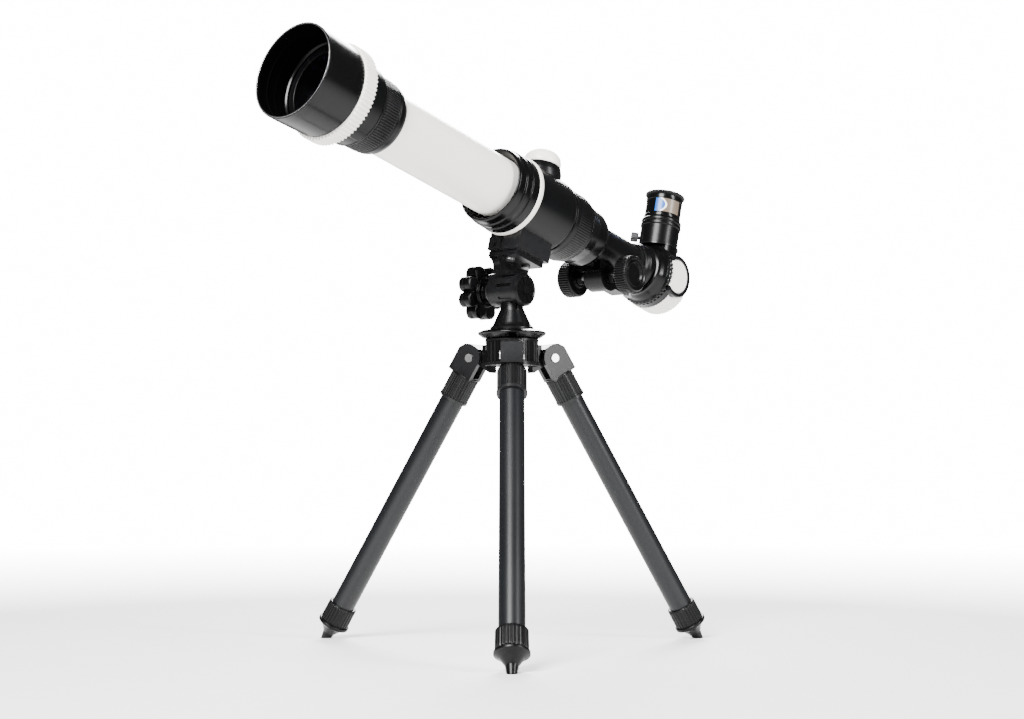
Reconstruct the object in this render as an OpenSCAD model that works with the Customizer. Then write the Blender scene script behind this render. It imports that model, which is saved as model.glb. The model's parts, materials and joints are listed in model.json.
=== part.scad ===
// Small refracting telescope on a table-top tripod.
// Millimetres. +Z is up. The objective points towards -X and is raised by the tilt angle.
// The feet stand on z = 0 and the origin is the middle of the footprint of the whole object.

/* [Tripod] */
// Length of one leg from its hinge to the tip of its foot
leg_length = 260; // [200:1:320]
// Angle of each leg away from upright
leg_spread = 32.3; // [27:0.1:36]
// Outside diameter of the leg tubes
leg_tube_dia = 18; // [14:0.5:22]
// Distance of each leg hinge from the middle of the hub
hinge_radius = 33.1; // [31:0.1:40]
// Turn of the three legs about the upright axis
leg_heading = 220; // [180:1:300]
// Radius of the hub that carries the legs
hub_radius = 20; // [17:0.5:22]
// Height of the hub
hub_height = 20; // [17:0.5:26]

/* [Tilt head] */
// Height of the tilt axis above the top of the hub
tilt_axis_rise = 37.5; // [34:0.5:46]
// Radius of the barrel that the tilt bolt runs through
head_barrel_radius = 12.5; // [10:0.5:15]
// Diameter of the tilt bolt
tilt_bolt_dia = 6; // [5:0.25:7.5]
// Overall diameter of the lobed clamp knob
clamp_knob_dia = 43; // [36:1:50]
// Number of lobes on the clamp knob
clamp_knob_lobes = 8; // [6, 7, 8, 9, 10]
// Diameter of the turntable disc on the hub
pan_disc_dia = 52; // [46:1:62]

/* [Telescope tube] */
// Upward tilt of the telescope
tilt = 14.5; // [0:0.5:30]
// Outside diameter of the main tube
tube_dia = 46.5; // [38:0.5:56]
// Length of tube seen between the lens cell and the rear collar
tube_length = 122; // [96:1:156]
// Wall thickness of the main tube
tube_wall = 1.2; // [0.8:0.1:2]
// Length of the lens hood in front of its toothed ring
hood_length = 35; // [26:1:50]
// Wall thickness of the lens hood
hood_wall = 1.6; // [1.2:0.1:2.2]
// Number of teeth on the light ring behind the hood
hood_ring_teeth = 72; // [48, 54, 60, 66, 72, 78, 84]
// Length of the rear housing up to its cone
housing_length = 69.5; // [62:0.5:84]

/* [Focuser] */
// Outside diameter of the sliding draw tube
draw_dia = 27.8; // [24:0.2:31]
// Travel of the draw tube
focus_travel = 40; // [25:1:42]
// Diameter of the focusing knobs
focus_knob_dia = 30; // [26:1:36]
// Tooth size of the rack and pinion, pitch diameter divided by teeth
gear_module = 0.8; // [0.7:0.05:0.95]
// Diameter of the focusing shaft
focus_shaft_dia = 5; // [4:0.25:6]

/* [Diagonal and eyepiece] */
// Diameter of the round diagonal housing
diagonal_dia = 53; // [51:0.5:62]
// Diameter of the eyepiece push-in barrel
eyepiece_barrel_dia = 24.5; // [20:0.1:26]
// Length of the eyepiece body above its holder
eyepiece_length = 23; // [18:0.5:32]

/* [Compass] */
// Diameter of the compass bezel
compass_dia = 29; // [26:0.5:34]

/* [Hidden] */
$fn = 96;

// Small amounts shared by every fit
run_gap = 0.05;
face_gap = 0.3;
far = 400;

// Heights of the tripod
hinge_z = leg_length * cos(leg_spread);
hub_floor = hinge_z - 6.5;
hub_top = hub_floor + hub_height;
tilt_z = hub_top + tilt_axis_rise;
leg_tube_r = leg_tube_dia / 2;
head_turns = [leg_heading - 120, leg_heading, leg_heading + 120];

// Hinge between a hub lug and the fork of a leg
lug_thick = 7.6;
lug_round = 7;
cheek_thick = 4.3;
pin_r = 2;
fork_half = lug_thick / 2 + face_gap + cheek_thick;
stop_low = 7.6;
stop_high = 10;
stop_back = 4;
stop_reach = stop_back * cos(leg_spread) + stop_high * sin(leg_spread);

// Foot stations measured down the leg
foot_top = leg_length - 32;
foot_flange = leg_length - 16;
foot_cone = leg_length - 13.4;
foot_flange_r = leg_tube_r + 3.4;

// Radii of the telescope, all led by the main tube
tube_r = tube_dia / 2;
barrel_r = tube_r + 7.7;
lens_r = tube_r + 2.7;
hood_r = barrel_r + 2.6 + hood_wall;
spigot_r = tube_r + 2.6;
house_r = tube_r + 6.85;
house_ring_r = tube_r + 4.7;
hollow_r = tube_r + 1.2;
tail_r = tube_r + 0.2;

// Stations along the optical axis; zero is the front face of the rear housing
collar_front = -27;
cell_rear = collar_front - tube_length;
cell_front = cell_rear - 41.4;
ring_front = cell_front - 11.6;
hood_front = ring_front - hood_length;
hood_mouth = 8;
barrel_front = ring_front - 8;
lens_seat = cell_rear - 25;
tail_front = housing_length;
tail_rear = tail_front + 27.5;

// Tilt axis seen from the optical axis
block_floor = house_r + 11.9;
tilt_x = 18;
tilt_drop = block_floor + 27.7;

// Head parts along the tilt axis, +Y away from the end cap
barrel_y0 = -10.5;
barrel_y1 = 9;
arm_y0 = barrel_y1 + 0.4;
arm_y1 = arm_y0 + 7;
washer_y0 = arm_y1 + face_gap;
washer_y1 = washer_y0 + 1.8;
boss_y0 = washer_y1 + face_gap;
lobes_y0 = boss_y0 + 7;
lobes_y1 = lobes_y0 + 11.5;
bolt_r = tilt_bolt_dia / 2;

// Rack and pinion
draw_r = draw_dia / 2;
draw_wall = 1.3;
sleeve_r = draw_r + 2.3;
sleeve_front = tail_rear - 9;
sleeve_rear = tail_rear + 57;
pinion_teeth = 12;
pinion_r = gear_module * pinion_teeth / 2;
gear_pitch = PI * gear_module;
rack_base = 2.8;
rack_pitch_z = -(draw_r + rack_base + 1.1 * gear_module);
shaft_x = tail_rear + 25;
shaft_z = rack_pitch_z - pinion_r;
shaft_r = focus_shaft_dia / 2;
knob_r = focus_knob_dia / 2;
knob_y0 = 22.5;
knob_y1 = 35;
draw_front = tail_rear - 27;
draw_rear = sleeve_rear + 12;
slot_half = 3.4;

// Diagonal and eyepiece
diag_r = diagonal_dia / 2;
diag_front = draw_rear + 0.6;
diag_joint = diag_front + 15.4;
diag_rear = diag_joint + 18;
diag_x = diag_joint + 9;
ring_x = diag_rear - 12;
plug_r = draw_r - draw_wall - run_gap;
port_r = 17.5;
seat_z = diag_r - 0.3;
holder_z = seat_z + 1.1;
holder_top = holder_z + 24;
barrel_hole_r = eyepiece_barrel_dia / 2 + run_gap;
eye_r = eyepiece_barrel_dia / 2 + 2.75;
holder_r = barrel_hole_r + 4;
eye_base = holder_top + 0.1;
eye_top = eye_base + eyepiece_length;
lock_turn = 133;

// Compass on top of the housing
compass_x = 28;
compass_r = compass_dia / 2;
compass_z = house_r + 6.2;
window_r = compass_r * 0.52;

// Middle of the whole footprint, moved to the origin
foot_far = hinge_radius + foot_cone * sin(leg_spread);
front_x = (hood_front - tilt_x) * cos(tilt) + (tilt_drop - hood_r) * sin(tilt);
back_x = (diag_x + eye_r + 1.3 - tilt_x) * cos(tilt) + (tilt_drop + eye_top) * sin(tilt);
left_y = foot_side(head_turns[0]);
right_y = -foot_side(head_turns[1]);
mid_x = (front_x + back_x) / 2;
mid_y = (left_y + right_y) / 2;

// Sideways reach of a foot flange on a leg with the given heading
function foot_side(turn) =
  foot_far * abs(sin(turn)) + foot_flange_r * sqrt(1 - pow(sin(leg_spread) * sin(turn), 2));

// Helpers

// Everything stands in the frame whose origin is the middle of the footprint
module stand() {
  translate([-mid_x, -mid_y, 0]) children();
}

// Telescope frame: X runs back along the optical axis
module scope() {
  stand()
    translate([0, 0, tilt_z])
      rotate([0, tilt, 0])
        translate([-tilt_x, 0, tilt_drop])
          children();
}

// Frame of one leg: origin on its hinge, -Z runs down the leg
module leg_frame(turn) {
  stand()
    rotate([0, 0, turn])
      translate([hinge_radius, 0, hinge_z])
        rotate([0, -leg_spread, 0])
          children();
}

// Round bar along X
module rod(x0, x1, r) {
  translate([x0, 0, 0]) rotate([0, 90, 0]) cylinder(h = x1 - x0, r = r);
}

// Round bar along Y
module cross(y0, y1, r) {
  translate([0, y1, 0]) rotate([90, 0, 0]) cylinder(h = y1 - y0, r = r);
}

// Solid of revolution about X from [radius, x] points
module turned(points) {
  rotate([0, 90, 0]) rotate_extrude() polygon(points);
}

// Solid of revolution about Y from [radius, y] points
module turned_y(points) {
  rotate([-90, 0, 0]) rotate_extrude() polygon(points);
}

// Solid of revolution about Z from [radius, z] points
module turned_z(points) {
  rotate_extrude() polygon(points);
}

// Outline with straight-sided teeth between a root and a tip radius
module ribbed(count, root, tip) {
  polygon([
    for (i = [0:count - 1], c = [[0, root], [0.22, tip], [0.56, tip], [0.78, root]])
      let (a = 360 * (i + c[0]) / count)
        [c[1] * cos(a), c[1] * sin(a)]
  ]);
}

// Ribbed ring along X, open inside
module ribbed_x(x0, x1, count, root, tip, bore) {
  translate([x0, 0, 0])
    rotate([0, 90, 0])
      linear_extrude(x1 - x0)
        difference() {
          ribbed(count, root, tip);
          circle(r = bore);
        }
}

// Lens end

// Thin-walled hood that pulls off the front barrel of the lens cell
module lens_hood() {
  inner = hood_r - 0.8 - hood_wall;
  color([0.03, 0.03, 0.035]) scope() turned([
    [hood_r - hood_wall, hood_front + hood_mouth],
    [hood_r - hood_wall, hood_front],
    [hood_r - 0.5, hood_front],
    [hood_r, hood_front + 0.5],
    [hood_r, hood_front + hood_mouth],
    [hood_r - 0.8, ring_front - face_gap],
    [barrel_r + run_gap, ring_front - face_gap],
    [barrel_r + run_gap, barrel_front],
    [inner - 0.6, barrel_front],
    [inner - 0.6, barrel_front + 1.2],
    [inner, barrel_front - 1.5]
  ]);
}

// Light toothed ring behind the hood
module hood_ring() {
  color([0.92, 0.9, 0.87]) scope()
    ribbed_x(ring_front, cell_front, hood_ring_teeth, hood_r - 0.3, hood_r + 0.9, barrel_r);
}

// Black cell with a raised panel, a ribbed band and a bevelled rear rim
module objective_cell() {
  color([0.04, 0.04, 0.045]) scope() {
    difference() {
      union() {
        turned([
          [lens_r, barrel_front],
          [barrel_r, barrel_front],
          [barrel_r, cell_front],
          [tube_r + 6.3, cell_front],
          [tube_r + 5.7, cell_front + 17],
          [tube_r + 4.3, cell_front + 18],
          [tube_r + 3.5, cell_front + 33],
          [tube_r + 4, cell_front + 34],
          [tube_r + 3.4, cell_front + 38],
          [tube_r + 1.9, cell_rear],
          [tube_r, cell_rear],
          [tube_r, cell_rear - 22],
          [tube_r - 2, cell_rear - 22],
          [tube_r - 2, lens_seat],
          [lens_r, lens_seat]
        ]);
        ribbed_x(cell_front + 18.5, cell_front + 32.5, 56, tube_r + 3.9, tube_r + 4.9, tube_r + 3);
        rotate([0, 90, 0])
          rotate([0, 0, 175])
            rotate_extrude(angle = 165)
              polygon([
                [tube_r + 5, cell_front + 1.5],
                [tube_r + 7, cell_front + 1.5],
                [tube_r + 6.6, cell_front + 14.5],
                [tube_r + 5, cell_front + 14.5]
              ]);
      }
      for (a = [0:120:240]) {
        rotate([a + 20, 0, 0])
          translate([cell_front + 35.8, 0, tube_r + 3])
            cylinder(h = 3, r = 0.9);
      }
    }
  }
}

// Screwed ring that keeps the lens on its seat
module lens_retainer() {
  color([0.05, 0.05, 0.05]) scope() turned([
    [tube_r - 0.6, lens_seat - 15],
    [lens_r, lens_seat - 15],
    [lens_r, lens_seat - 11.2],
    [tube_r - 0.6, lens_seat - 11.2]
  ]);
}

// Cemented doublet, curved at the front and flat behind
module objective_lens() {
  bulge = 120;
  color([0.7, 0.8, 0.85, 0.5]) scope()
    intersection() {
      rod(lens_seat - 14, lens_seat, lens_r);
      translate([lens_seat - 13.2 + bulge, 0, 0]) sphere(r = bulge);
    }
}

// Main tube

module main_tube() {
  color([0.93, 0.91, 0.88]) scope() turned([
    [tube_r - tube_wall, cell_rear - 22],
    [tube_r, cell_rear - 22],
    [tube_r, 6],
    [tube_r - tube_wall, 6]
  ]);
}

// Stray-light stop pressed into the tube
module tube_baffle() {
  mid = (cell_rear + collar_front) / 2;
  color([0.03, 0.03, 0.03]) scope() turned([
    [tube_r * 0.7, mid],
    [tube_r - tube_wall, mid],
    [tube_r - tube_wall, mid + 7],
    [tube_r - tube_wall - 1, mid + 7],
    [tube_r - tube_wall - 1, mid + 1.2],
    [tube_r * 0.7, mid + 1.2]
  ]);
}

// Stepped black collar that joins the tube to the rear housing
module front_collar() {
  color([0.03, 0.03, 0.035]) scope() turned([
    [tube_r, collar_front + 7.5],
    [tube_r + 0.8, collar_front + 7.5],
    [tube_r + 3.6, collar_front + 1.6],
    [tube_r + 4.4, collar_front],
    [tube_r + 5.4, collar_front],
    [tube_r + 6.4, collar_front + 1.4],
    [tube_r + 6.6, collar_front + 7],
    [tube_r + 7.4, collar_front + 8],
    [tube_r + 7.7, collar_front + 9.6],
    [tube_r + 7.7, collar_front + 12.6],
    [tube_r + 7, collar_front + 13.2],
    [tube_r + 7, collar_front + 14.4],
    [tube_r + 7.9, collar_front + 15],
    [tube_r + 7.9, -4.5],
    [spigot_r, -4.5],
    [spigot_r, 8],
    [tube_r, 8]
  ]);
}

// Light ring between collar and housing
module trim_ring() {
  color([0.93, 0.92, 0.9]) scope() turned([
    [spigot_r, -4.5],
    [tube_r + 8.1, -4.5],
    [tube_r + 8.4, -4.1],
    [tube_r + 8.4, -0.5],
    [tube_r + 8, 0],
    [spigot_r, 0]
  ]);
}

// Wide black housing with a narrower ribbed ring at its back
module rear_housing() {
  color([0.04, 0.045, 0.045]) scope()
    difference() {
      union() {
        turned([
          [spigot_r, 0],
          [house_r - 0.6, 0],
          [house_r, 0.6],
          [house_r, tail_front - 27],
          [house_r - 3.2, tail_front - 25],
          [house_r - 3.2, tail_front - 22.5],
          [house_ring_r, tail_front - 21.5],
          [house_ring_r, tail_front - 0.6],
          [house_ring_r - 0.6, tail_front],
          [hollow_r, tail_front],
          [hollow_r, 8],
          [spigot_r, 8]
        ]);
        ribbed_x(tail_front - 17, tail_front - 3, 64, house_ring_r - 0.3, house_ring_r + 0.35,
                 house_ring_r - 0.9);
      }
      for (x = [10, 29]) {
        translate([x, 0, -house_r - 1]) cylinder(h = 4.5, r = 2);
      }
      translate([compass_x, 0, house_r - 5]) cylinder(h = 8, r = 3);
    }
}

// Tapered tail that carries the focuser
module tail_cone() {
  color([0.04, 0.045, 0.045]) scope()
    difference() {
      turned([
        [hollow_r, tail_front],
        [tube_r + 3.9, tail_front],
        [tube_r + 3.9, tail_front + 1.6],
        [tube_r + 1, tail_front + 12.5],
        [tail_r, tail_front + 23.5],
        [tube_r - 1.5, tail_rear],
        [sleeve_r, tail_rear],
        [sleeve_r, tail_rear - 3],
        [tube_r - 1.8, tail_rear - 3],
        [tube_r - 1.8, tail_front + 12.5]
      ]);
      translate([tail_rear - 4, -slot_half, -sleeve_r - 3])
        cube([5, 2 * slot_half, 8]);
    }
}

// Compass

module compass_base() {
  color([0.06, 0.06, 0.065]) scope()
    difference() {
      translate([compass_x, 0, 0])
        union() {
          turned_z([
            [0, house_r - 6],
            [compass_r + 1.8, house_r - 6],
            [compass_r + 1.8, house_r + 1],
            [compass_r + 0.9, compass_z - 2],
            [compass_r + 0.1, compass_z],
            [0, compass_z]
          ]);
        }
      rod(-1, far, house_r);
    }
}

module compass_bezel() {
  color([0.93, 0.92, 0.9]) scope()
    translate([compass_x, 0, compass_z])
      turned_z([
        [compass_r - 2.5, 0],
        [compass_r, 0],
        [compass_r + 0.3, 3],
        [compass_r - 0.6, 7],
        [compass_r - 2.8, 9.8],
        [window_r + 1.4, 11.8],
        [window_r, 11.8],
        [window_r, 9.8],
        [compass_r - 4.4, 8.2],
        [compass_r - 2.5, 5]
      ]);
}

module compass_dial() {
  color([0.85, 0.85, 0.83]) scope()
    translate([compass_x, 0, compass_z])
      turned_z([
        [0, 0],
        [compass_r - 3.2, 0],
        [compass_r - 3.2, 1.4],
        [1, 1.4],
        [0.5, 3.4],
        [0, 3.6]
      ]);
}

module compass_needle() {
  half = compass_r - 4.2;
  color([0.8, 0.15, 0.1]) scope()
    translate([compass_x, 0, compass_z + 3.8])
      union() {
        linear_extrude(0.6) polygon([[half, 0], [0, 1.6], [-half, 0], [0, -1.6]]);
        difference() {
          translate([0, 0, -1.2]) cylinder(h = 2.4, r = 1.8);
          translate([0, 0, -1.3]) cylinder(h = 1.4, r = 1.1);
        }
      }
}

module compass_window() {
  color([0.8, 0.85, 0.88, 0.4]) scope()
    translate([compass_x, 0, compass_z + 9.8])
      cylinder(h = 1.4, r = window_r);
}

// Saddle and tilt arm

// Block under the housing, hollowed to its curve
module saddle_block() {
  color([0.1, 0.1, 0.11]) scope()
    difference() {
      union() {
        translate([face_gap, -15, -block_floor]) cube([37.7, 30, block_floor - house_r + 9]);
        translate([face_gap - 1.2, 3, -block_floor]) cube([4, 12, 10]);
      }
      rod(-far, far, house_r);
      rod(-far, face_gap, tube_r + 8.8);
      for (x = [10, 29]) {
        translate([x, 0, -block_floor - 1]) cylinder(h = far, r = 2);
      }
      translate([-2, 8, -block_floor + 4])
        rotate([0, 90, 0])
          cylinder(h = 1.6, r = 1.6);
    }
}

// Arm from the block down to the tilt axis, with a flat foot under the block
module tilt_arm() {
  color([0.06, 0.06, 0.065]) scope()
    difference() {
      union() {
        translate([3, -11, -block_floor - 4]) cube([33, arm_y1 + 11, 4]);
        translate([0, arm_y1, 0])
          rotate([90, 0, 0])
            linear_extrude(arm_y1 - arm_y0)
              difference() {
                union() {
                  polygon([
                    [4, -block_floor - 4],
                    [44, -block_floor - 4],
                    [44, -block_floor - 7],
                    [tilt_x + 11.5, -tilt_drop + 8],
                    [tilt_x + 11.5, -tilt_drop],
                    [tilt_x - 11.5, -tilt_drop],
                    [tilt_x - 10, -tilt_drop + 6]
                  ]);
                  translate([36, -block_floor - 4]) square([8, 4]);
                  translate([tilt_x, -tilt_drop]) circle(r = 11.5);
                }
                translate([3.5, -block_floor - 11.5]) circle(r = 7);
              }
        translate([tilt_x, 0, -tilt_drop]) cross(arm_y0, arm_y1, 11.5);
      }
      translate([tilt_x, 0, -tilt_drop]) cross(arm_y0 - 1, arm_y1 + 1, bolt_r + run_gap);
      for (x = [10, 29]) {
        translate([x, 0, -block_floor - 5]) cylinder(h = 6, r = 2);
      }
    }
}

// Two screws from below through the arm's foot into the block
module saddle_screws() {
  color([0.6, 0.6, 0.62]) scope()
    for (x = [10, 29]) {
      translate([x, 0, -block_floor - 6])
        union() {
          cylinder(h = 2, r = 3.4);
          cylinder(h = block_floor - house_r + 8, r = 2);
        }
    }
}

// Focuser

// Sleeve for the draw tube with the pinion housing under it
module focuser_body() {
  color([0.04, 0.04, 0.045]) scope()
    difference() {
      union() {
        rod(sleeve_front, sleeve_rear, sleeve_r);
        rod(tail_rear - 7.5, tail_rear - 3, tube_r - 2.1);
        rod(sleeve_rear - 4, sleeve_rear, sleeve_r + 0.8);
        translate([shaft_x - 15, -9, shaft_z]) cube([32, 18, -shaft_z - 4]);
        translate([shaft_x, 0, shaft_z]) cross(-9, 9, 12);
        translate([shaft_x + 12, -7, shaft_z - 7]) cube([14, 14, 10]);
        translate([shaft_x, 0, shaft_z]) cross(-14, 14, 5.5);
        translate([shaft_x, 0, shaft_z]) cross(-10.5, 10.5, 8);
      }
      rod(sleeve_front - 1, sleeve_rear + 1, draw_r + run_gap);
      translate([sleeve_front - 1, -slot_half, rack_pitch_z - 1.7])
        cube([sleeve_rear - sleeve_front + 2, 2 * slot_half, -rack_pitch_z - 4]);
      translate([shaft_x, 0, shaft_z]) cross(-5.4, 5.4, pinion_r + gear_module + 0.6);
      translate([shaft_x, 0, shaft_z]) cross(-15, 15, shaft_r + run_gap);
    }
}

module draw_tube() {
  color([0.75, 0.76, 0.78]) scope()
    difference() {
      rod(draw_front, draw_rear, draw_r);
      rod(draw_front - 1, draw_rear + 1, draw_r - draw_wall);
      translate([draw_rear - 6, 0, -draw_r - 1]) cylinder(h = 5, r = 1.5 + run_gap);
    }
}

// Straight rack along the underside of the draw tube
module focus_rack() {
  root_z = rack_pitch_z + 1.1 * gear_module;
  tip_z = rack_pitch_z - gear_module;
  wide = 0.19 * gear_pitch + 1.1 * gear_module * tan(20);
  slim = 0.19 * gear_pitch - gear_module * tan(20);
  first = ceil((draw_front + 4 - shaft_x) / gear_pitch);
  last = floor((sleeve_rear - 2 - shaft_x) / gear_pitch);
  color([0.8, 0.8, 0.78]) scope()
    difference() {
      translate([0, 3, 0])
        rotate([90, 0, 0])
          linear_extrude(6)
            union() {
              translate([draw_front + 2, root_z])
                square([sleeve_rear - 2 - draw_front, -root_z - draw_r + 1.2]);
              for (i = [first:last - 1]) {
                translate([shaft_x + (i + 0.5) * gear_pitch, 0])
                  polygon([[-wide, root_z + 0.2], [-slim, tip_z], [slim, tip_z],
                           [wide, root_z + 0.2]]);
              }
            }
      rod(draw_front, draw_rear, draw_r);
    }
}

// Stepped ring on the end of the draw tube; it stops the tube against the sleeve
module draw_collar() {
  color([0.05, 0.05, 0.055]) scope()
    difference() {
      turned([
        [draw_r, sleeve_rear + 0.8],
        [draw_r + 4, sleeve_rear + 0.8],
        [draw_r + 4.8, sleeve_rear + 3],
        [draw_r + 6.4, sleeve_rear + 5.4],
        [draw_r + 6.4, sleeve_rear + 9.4],
        [draw_r + 5, draw_rear],
        [draw_r, draw_rear]
      ]);
      translate([draw_rear - 6, 0, -draw_r - 8]) cylinder(h = 12, r = 1.5 + run_gap);
    }
}

// Small thumb screw under the draw collar that clamps the diagonal
module draw_lock_screw() {
  low = -draw_r - 6.7;
  color([0.35, 0.35, 0.37]) scope()
    translate([draw_rear - 6, 0, 0])
      union() {
        translate([0, 0, low]) cylinder(h = -plug_r - 0.1 - low, r = 1.5);
        translate([0, 0, low - 6]) linear_extrude(6) ribbed(14, 3.2, 3.7);
      }
}

module focus_shaft() {
  color([0.7, 0.7, 0.72]) scope()
    translate([shaft_x, 0, shaft_z]) cross(-knob_y1 + 3, knob_y1 - 3, shaft_r);
}

// Pinion with one tooth standing up into the rack
module focus_pinion() {
  root = pinion_r - 1.1 * gear_module;
  tip = pinion_r + gear_module;
  half = [
    asin((0.19 * gear_pitch + 1.1 * gear_module * tan(20)) / pinion_r),
    asin((0.19 * gear_pitch - gear_module * tan(20)) / pinion_r)
  ];
  color([0.75, 0.65, 0.35]) scope()
    translate([shaft_x, 5, shaft_z])
      rotate([90, 0, 0])
        linear_extrude(10)
          difference() {
            polygon([
              for (i = [0:pinion_teeth - 1],
                   c = [[-half[0], root], [-half[1], tip], [half[1], tip], [half[0], root]])
                let (a = 90 - 360 * i / pinion_teeth - c[0])
                  [c[1] * cos(a), c[1] * sin(a)]
            ]);
            circle(r = shaft_r);
          }
}

// Dished knob with two raised rims; side is -1 for the near knob and 1 for the far one
module focus_knob(side) {
  color([0.05, 0.05, 0.055]) scope()
    translate([shaft_x, 0, shaft_z])
      rotate([0, 0, side > 0 ? 0 : 180])
        difference() {
          union() {
            turned_y([
              [0, knob_y0 - 4],
              [5, knob_y0 - 4],
              [5, knob_y0 - 1.6],
              [7.5, knob_y0 - 1.6],
              [7.5, knob_y0],
              [knob_r - 1.6, knob_y0],
              [knob_r - 0.9, knob_y0 + 0.7],
              [knob_r - 0.9, knob_y1 - 0.9],
              [knob_r - 1.6, knob_y1],
              [knob_r - 2.6, knob_y1],
              [knob_r - 3, knob_y1 - 1.4],
              [knob_r - 4.6, knob_y1 - 1.6],
              [knob_r - 4.9, knob_y1 - 0.8],
              [knob_r - 5.7, knob_y1 - 0.8],
              [knob_r - 6.4, knob_y1 - 2.6],
              [0, knob_y1 - 2.2]
            ]);
            translate([0, knob_y1 - 1.4, 0])
              rotate([90, 0, 0])
                linear_extrude(knob_y1 - knob_y0 - 2.6)
                  difference() {
                    ribbed(46, knob_r - 0.7, knob_r);
                    circle(r = knob_r - 2);
                  }
          }
          cross(knob_y0 - 5, knob_y1 - 3, shaft_r);
        }
}

module focus_knob_near() {
  focus_knob(-1);
}

module focus_knob_far() {
  focus_knob(1);
}

// Diagonal

// Front of the diagonal: plug for the draw tube, flared shoulder and ribbed rim
module diagonal_collar() {
  color([0.05, 0.05, 0.055]) scope()
    union() {
      turned([
        [plug_r - 2, diag_front - 18],
        [plug_r, diag_front - 18],
        [plug_r, diag_front],
        [plug_r + 6.4, diag_front],
        [plug_r + 9, diag_front + 1],
        [diag_r - 4.8, diag_front + 3.4],
        [diag_r - 2.3, diag_front + 11],
        [diag_r - 0.9, diag_front + 12],
        [diag_r - 0.9, diag_joint],
        [diag_r - 4.3, diag_joint],
        [diag_r - 4.3, diag_front + 12],
        [diag_r - 6, diag_front + 8],
        [plug_r - 2, diag_front + 4]
      ]);
      ribbed_x(diag_front + 12, diag_joint, 44, diag_r - 0.7, diag_r, diag_r - 1.8);
    }
}

// The two round ports of the diagonal, up for the eyepiece and sideways for the cover
module ports() {
  translate([diag_x, 0, 0]) {
    translate([0, 0, 8]) cylinder(h = seat_z - 8, r = holder_r + 0.3);
    cross(-diag_r + 4, -8, port_r);
  }
}

// Corner between the two ports, further than "from" from the drum's middle
module port_corner(from) {
  translate([ring_x - 1, -far - from, from]) cube([30, far, far]);
}

// Rear drum of the diagonal, flat on the near side, with both ports
module diagonal_body() {
  color([0.045, 0.045, 0.05]) scope()
    difference() {
      union() {
        intersection() {
          union() {
            rod(diag_joint, ring_x, diag_r);
            rod(diag_joint, diag_rear, diag_r - 3);
            ports();
          }
          translate([diag_joint, -diag_r + 4, -far / 2]) cube([far, far, far]);
        }
        translate([diag_x, 0, seat_z]) cylinder(h = holder_z - seat_z, r = holder_r + 0.9);
      }
      rod(diag_joint - 1, diag_rear + 1, diag_r - 5.5);
      translate([diag_x, 0, 0]) cylinder(h = far, r = barrel_hole_r);
      translate([diag_x, 0, 0]) cross(-diag_r, 0, port_r - 5);
    }
}

// Plane mirror across the light path
module diagonal_mirror() {
  color([0.85, 0.87, 0.9]) scope()
    translate([diag_x, 0, 0])
      rotate([0, -45, 0])
        translate([-12.5, -11, -2])
          cube([22.4, 22, 2]);
}

// Light knurled ring round the back of the diagonal, stopped short at the ports
module diagonal_rear_ring() {
  color([0.92, 0.91, 0.89]) scope()
    difference() {
      union() {
        ribbed_x(ring_x, diag_rear + 5.4, 60, diag_r + 0.2, diag_r + 0.7, diag_r - 3);
        turned([
          [diag_r - 8, diag_rear],
          [diag_r - 2.8, diag_rear],
          [diag_r - 2.8, diag_rear + 5],
          [diag_r - 0.4, diag_rear + 5],
          [diag_r - 0.4, diag_rear + 5.6],
          [diag_r - 2.2, diag_rear + 7],
          [diag_r - 8, diag_rear + 7.2]
        ]);
      }
      ports();
      port_corner(0);
      translate([diag_x, 0, seat_z - 1]) cylinder(h = far, r = holder_r + 1.2);
      translate([ring_x - 1, -far - diag_r + 4, -far / 2]) cube([30, far, far]);
    }
}

// Back plate with the wedge that backs the mirror
module diagonal_back_plate() {
  color([0.05, 0.05, 0.055]) scope() {
    translate([diag_x, 9, 0])
      rotate([90, 0, 0])
        linear_extrude(18)
          polygon([[-7.2, -10.2], [9.2, 6.2], [10, 6.2], [10, -10.2]]);
    difference() {
      rod(diag_rear, diag_rear + 4, diag_r - 8);
      ports();
      port_corner(8);
    }
  }
}

// Black ring round the side port, cut where the ribbed rim passes
module side_bezel() {
  y1 = -diag_r + 4;
  color([0.04, 0.04, 0.045]) scope()
    intersection() {
      translate([diag_x, 0, 0])
        difference() {
          turned_y([
            [0, y1],
            [port_r, y1],
            [port_r, y1 - 2.4],
            [port_r - 0.8, y1 - 3.2],
            [port_r - 3, y1 - 3.2],
            [port_r - 3.5, y1 - 2.6],
            [0, y1 - 2.6]
          ]);
          cross(y1 - 4, y1 + 1, port_r - 3.5);
        }
      translate([diag_joint + 0.2, -far, -far / 2]) cube([far, 2 * far, far]);
    }
}

// Light cover over the side port
module side_cover() {
  y1 = -diag_r + 4;
  color([0.93, 0.92, 0.9]) scope()
    intersection() {
      translate([diag_x, 0, 0])
        turned_y([
          [0, y1],
          [port_r - 3.5, y1],
          [port_r - 3.5, y1 - 2.2],
          [port_r - 4.2, y1 - 2.7],
          [0, y1 - 3]
        ]);
      translate([diag_joint + 0.2, -far, -far / 2]) cube([far, 2 * far, far]);
    }
}

// Eyepiece

// Frame of the eyepiece, Z along its barrel
module eye_frame() {
  scope() translate([diag_x, 0, 0]) children();
}

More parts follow.
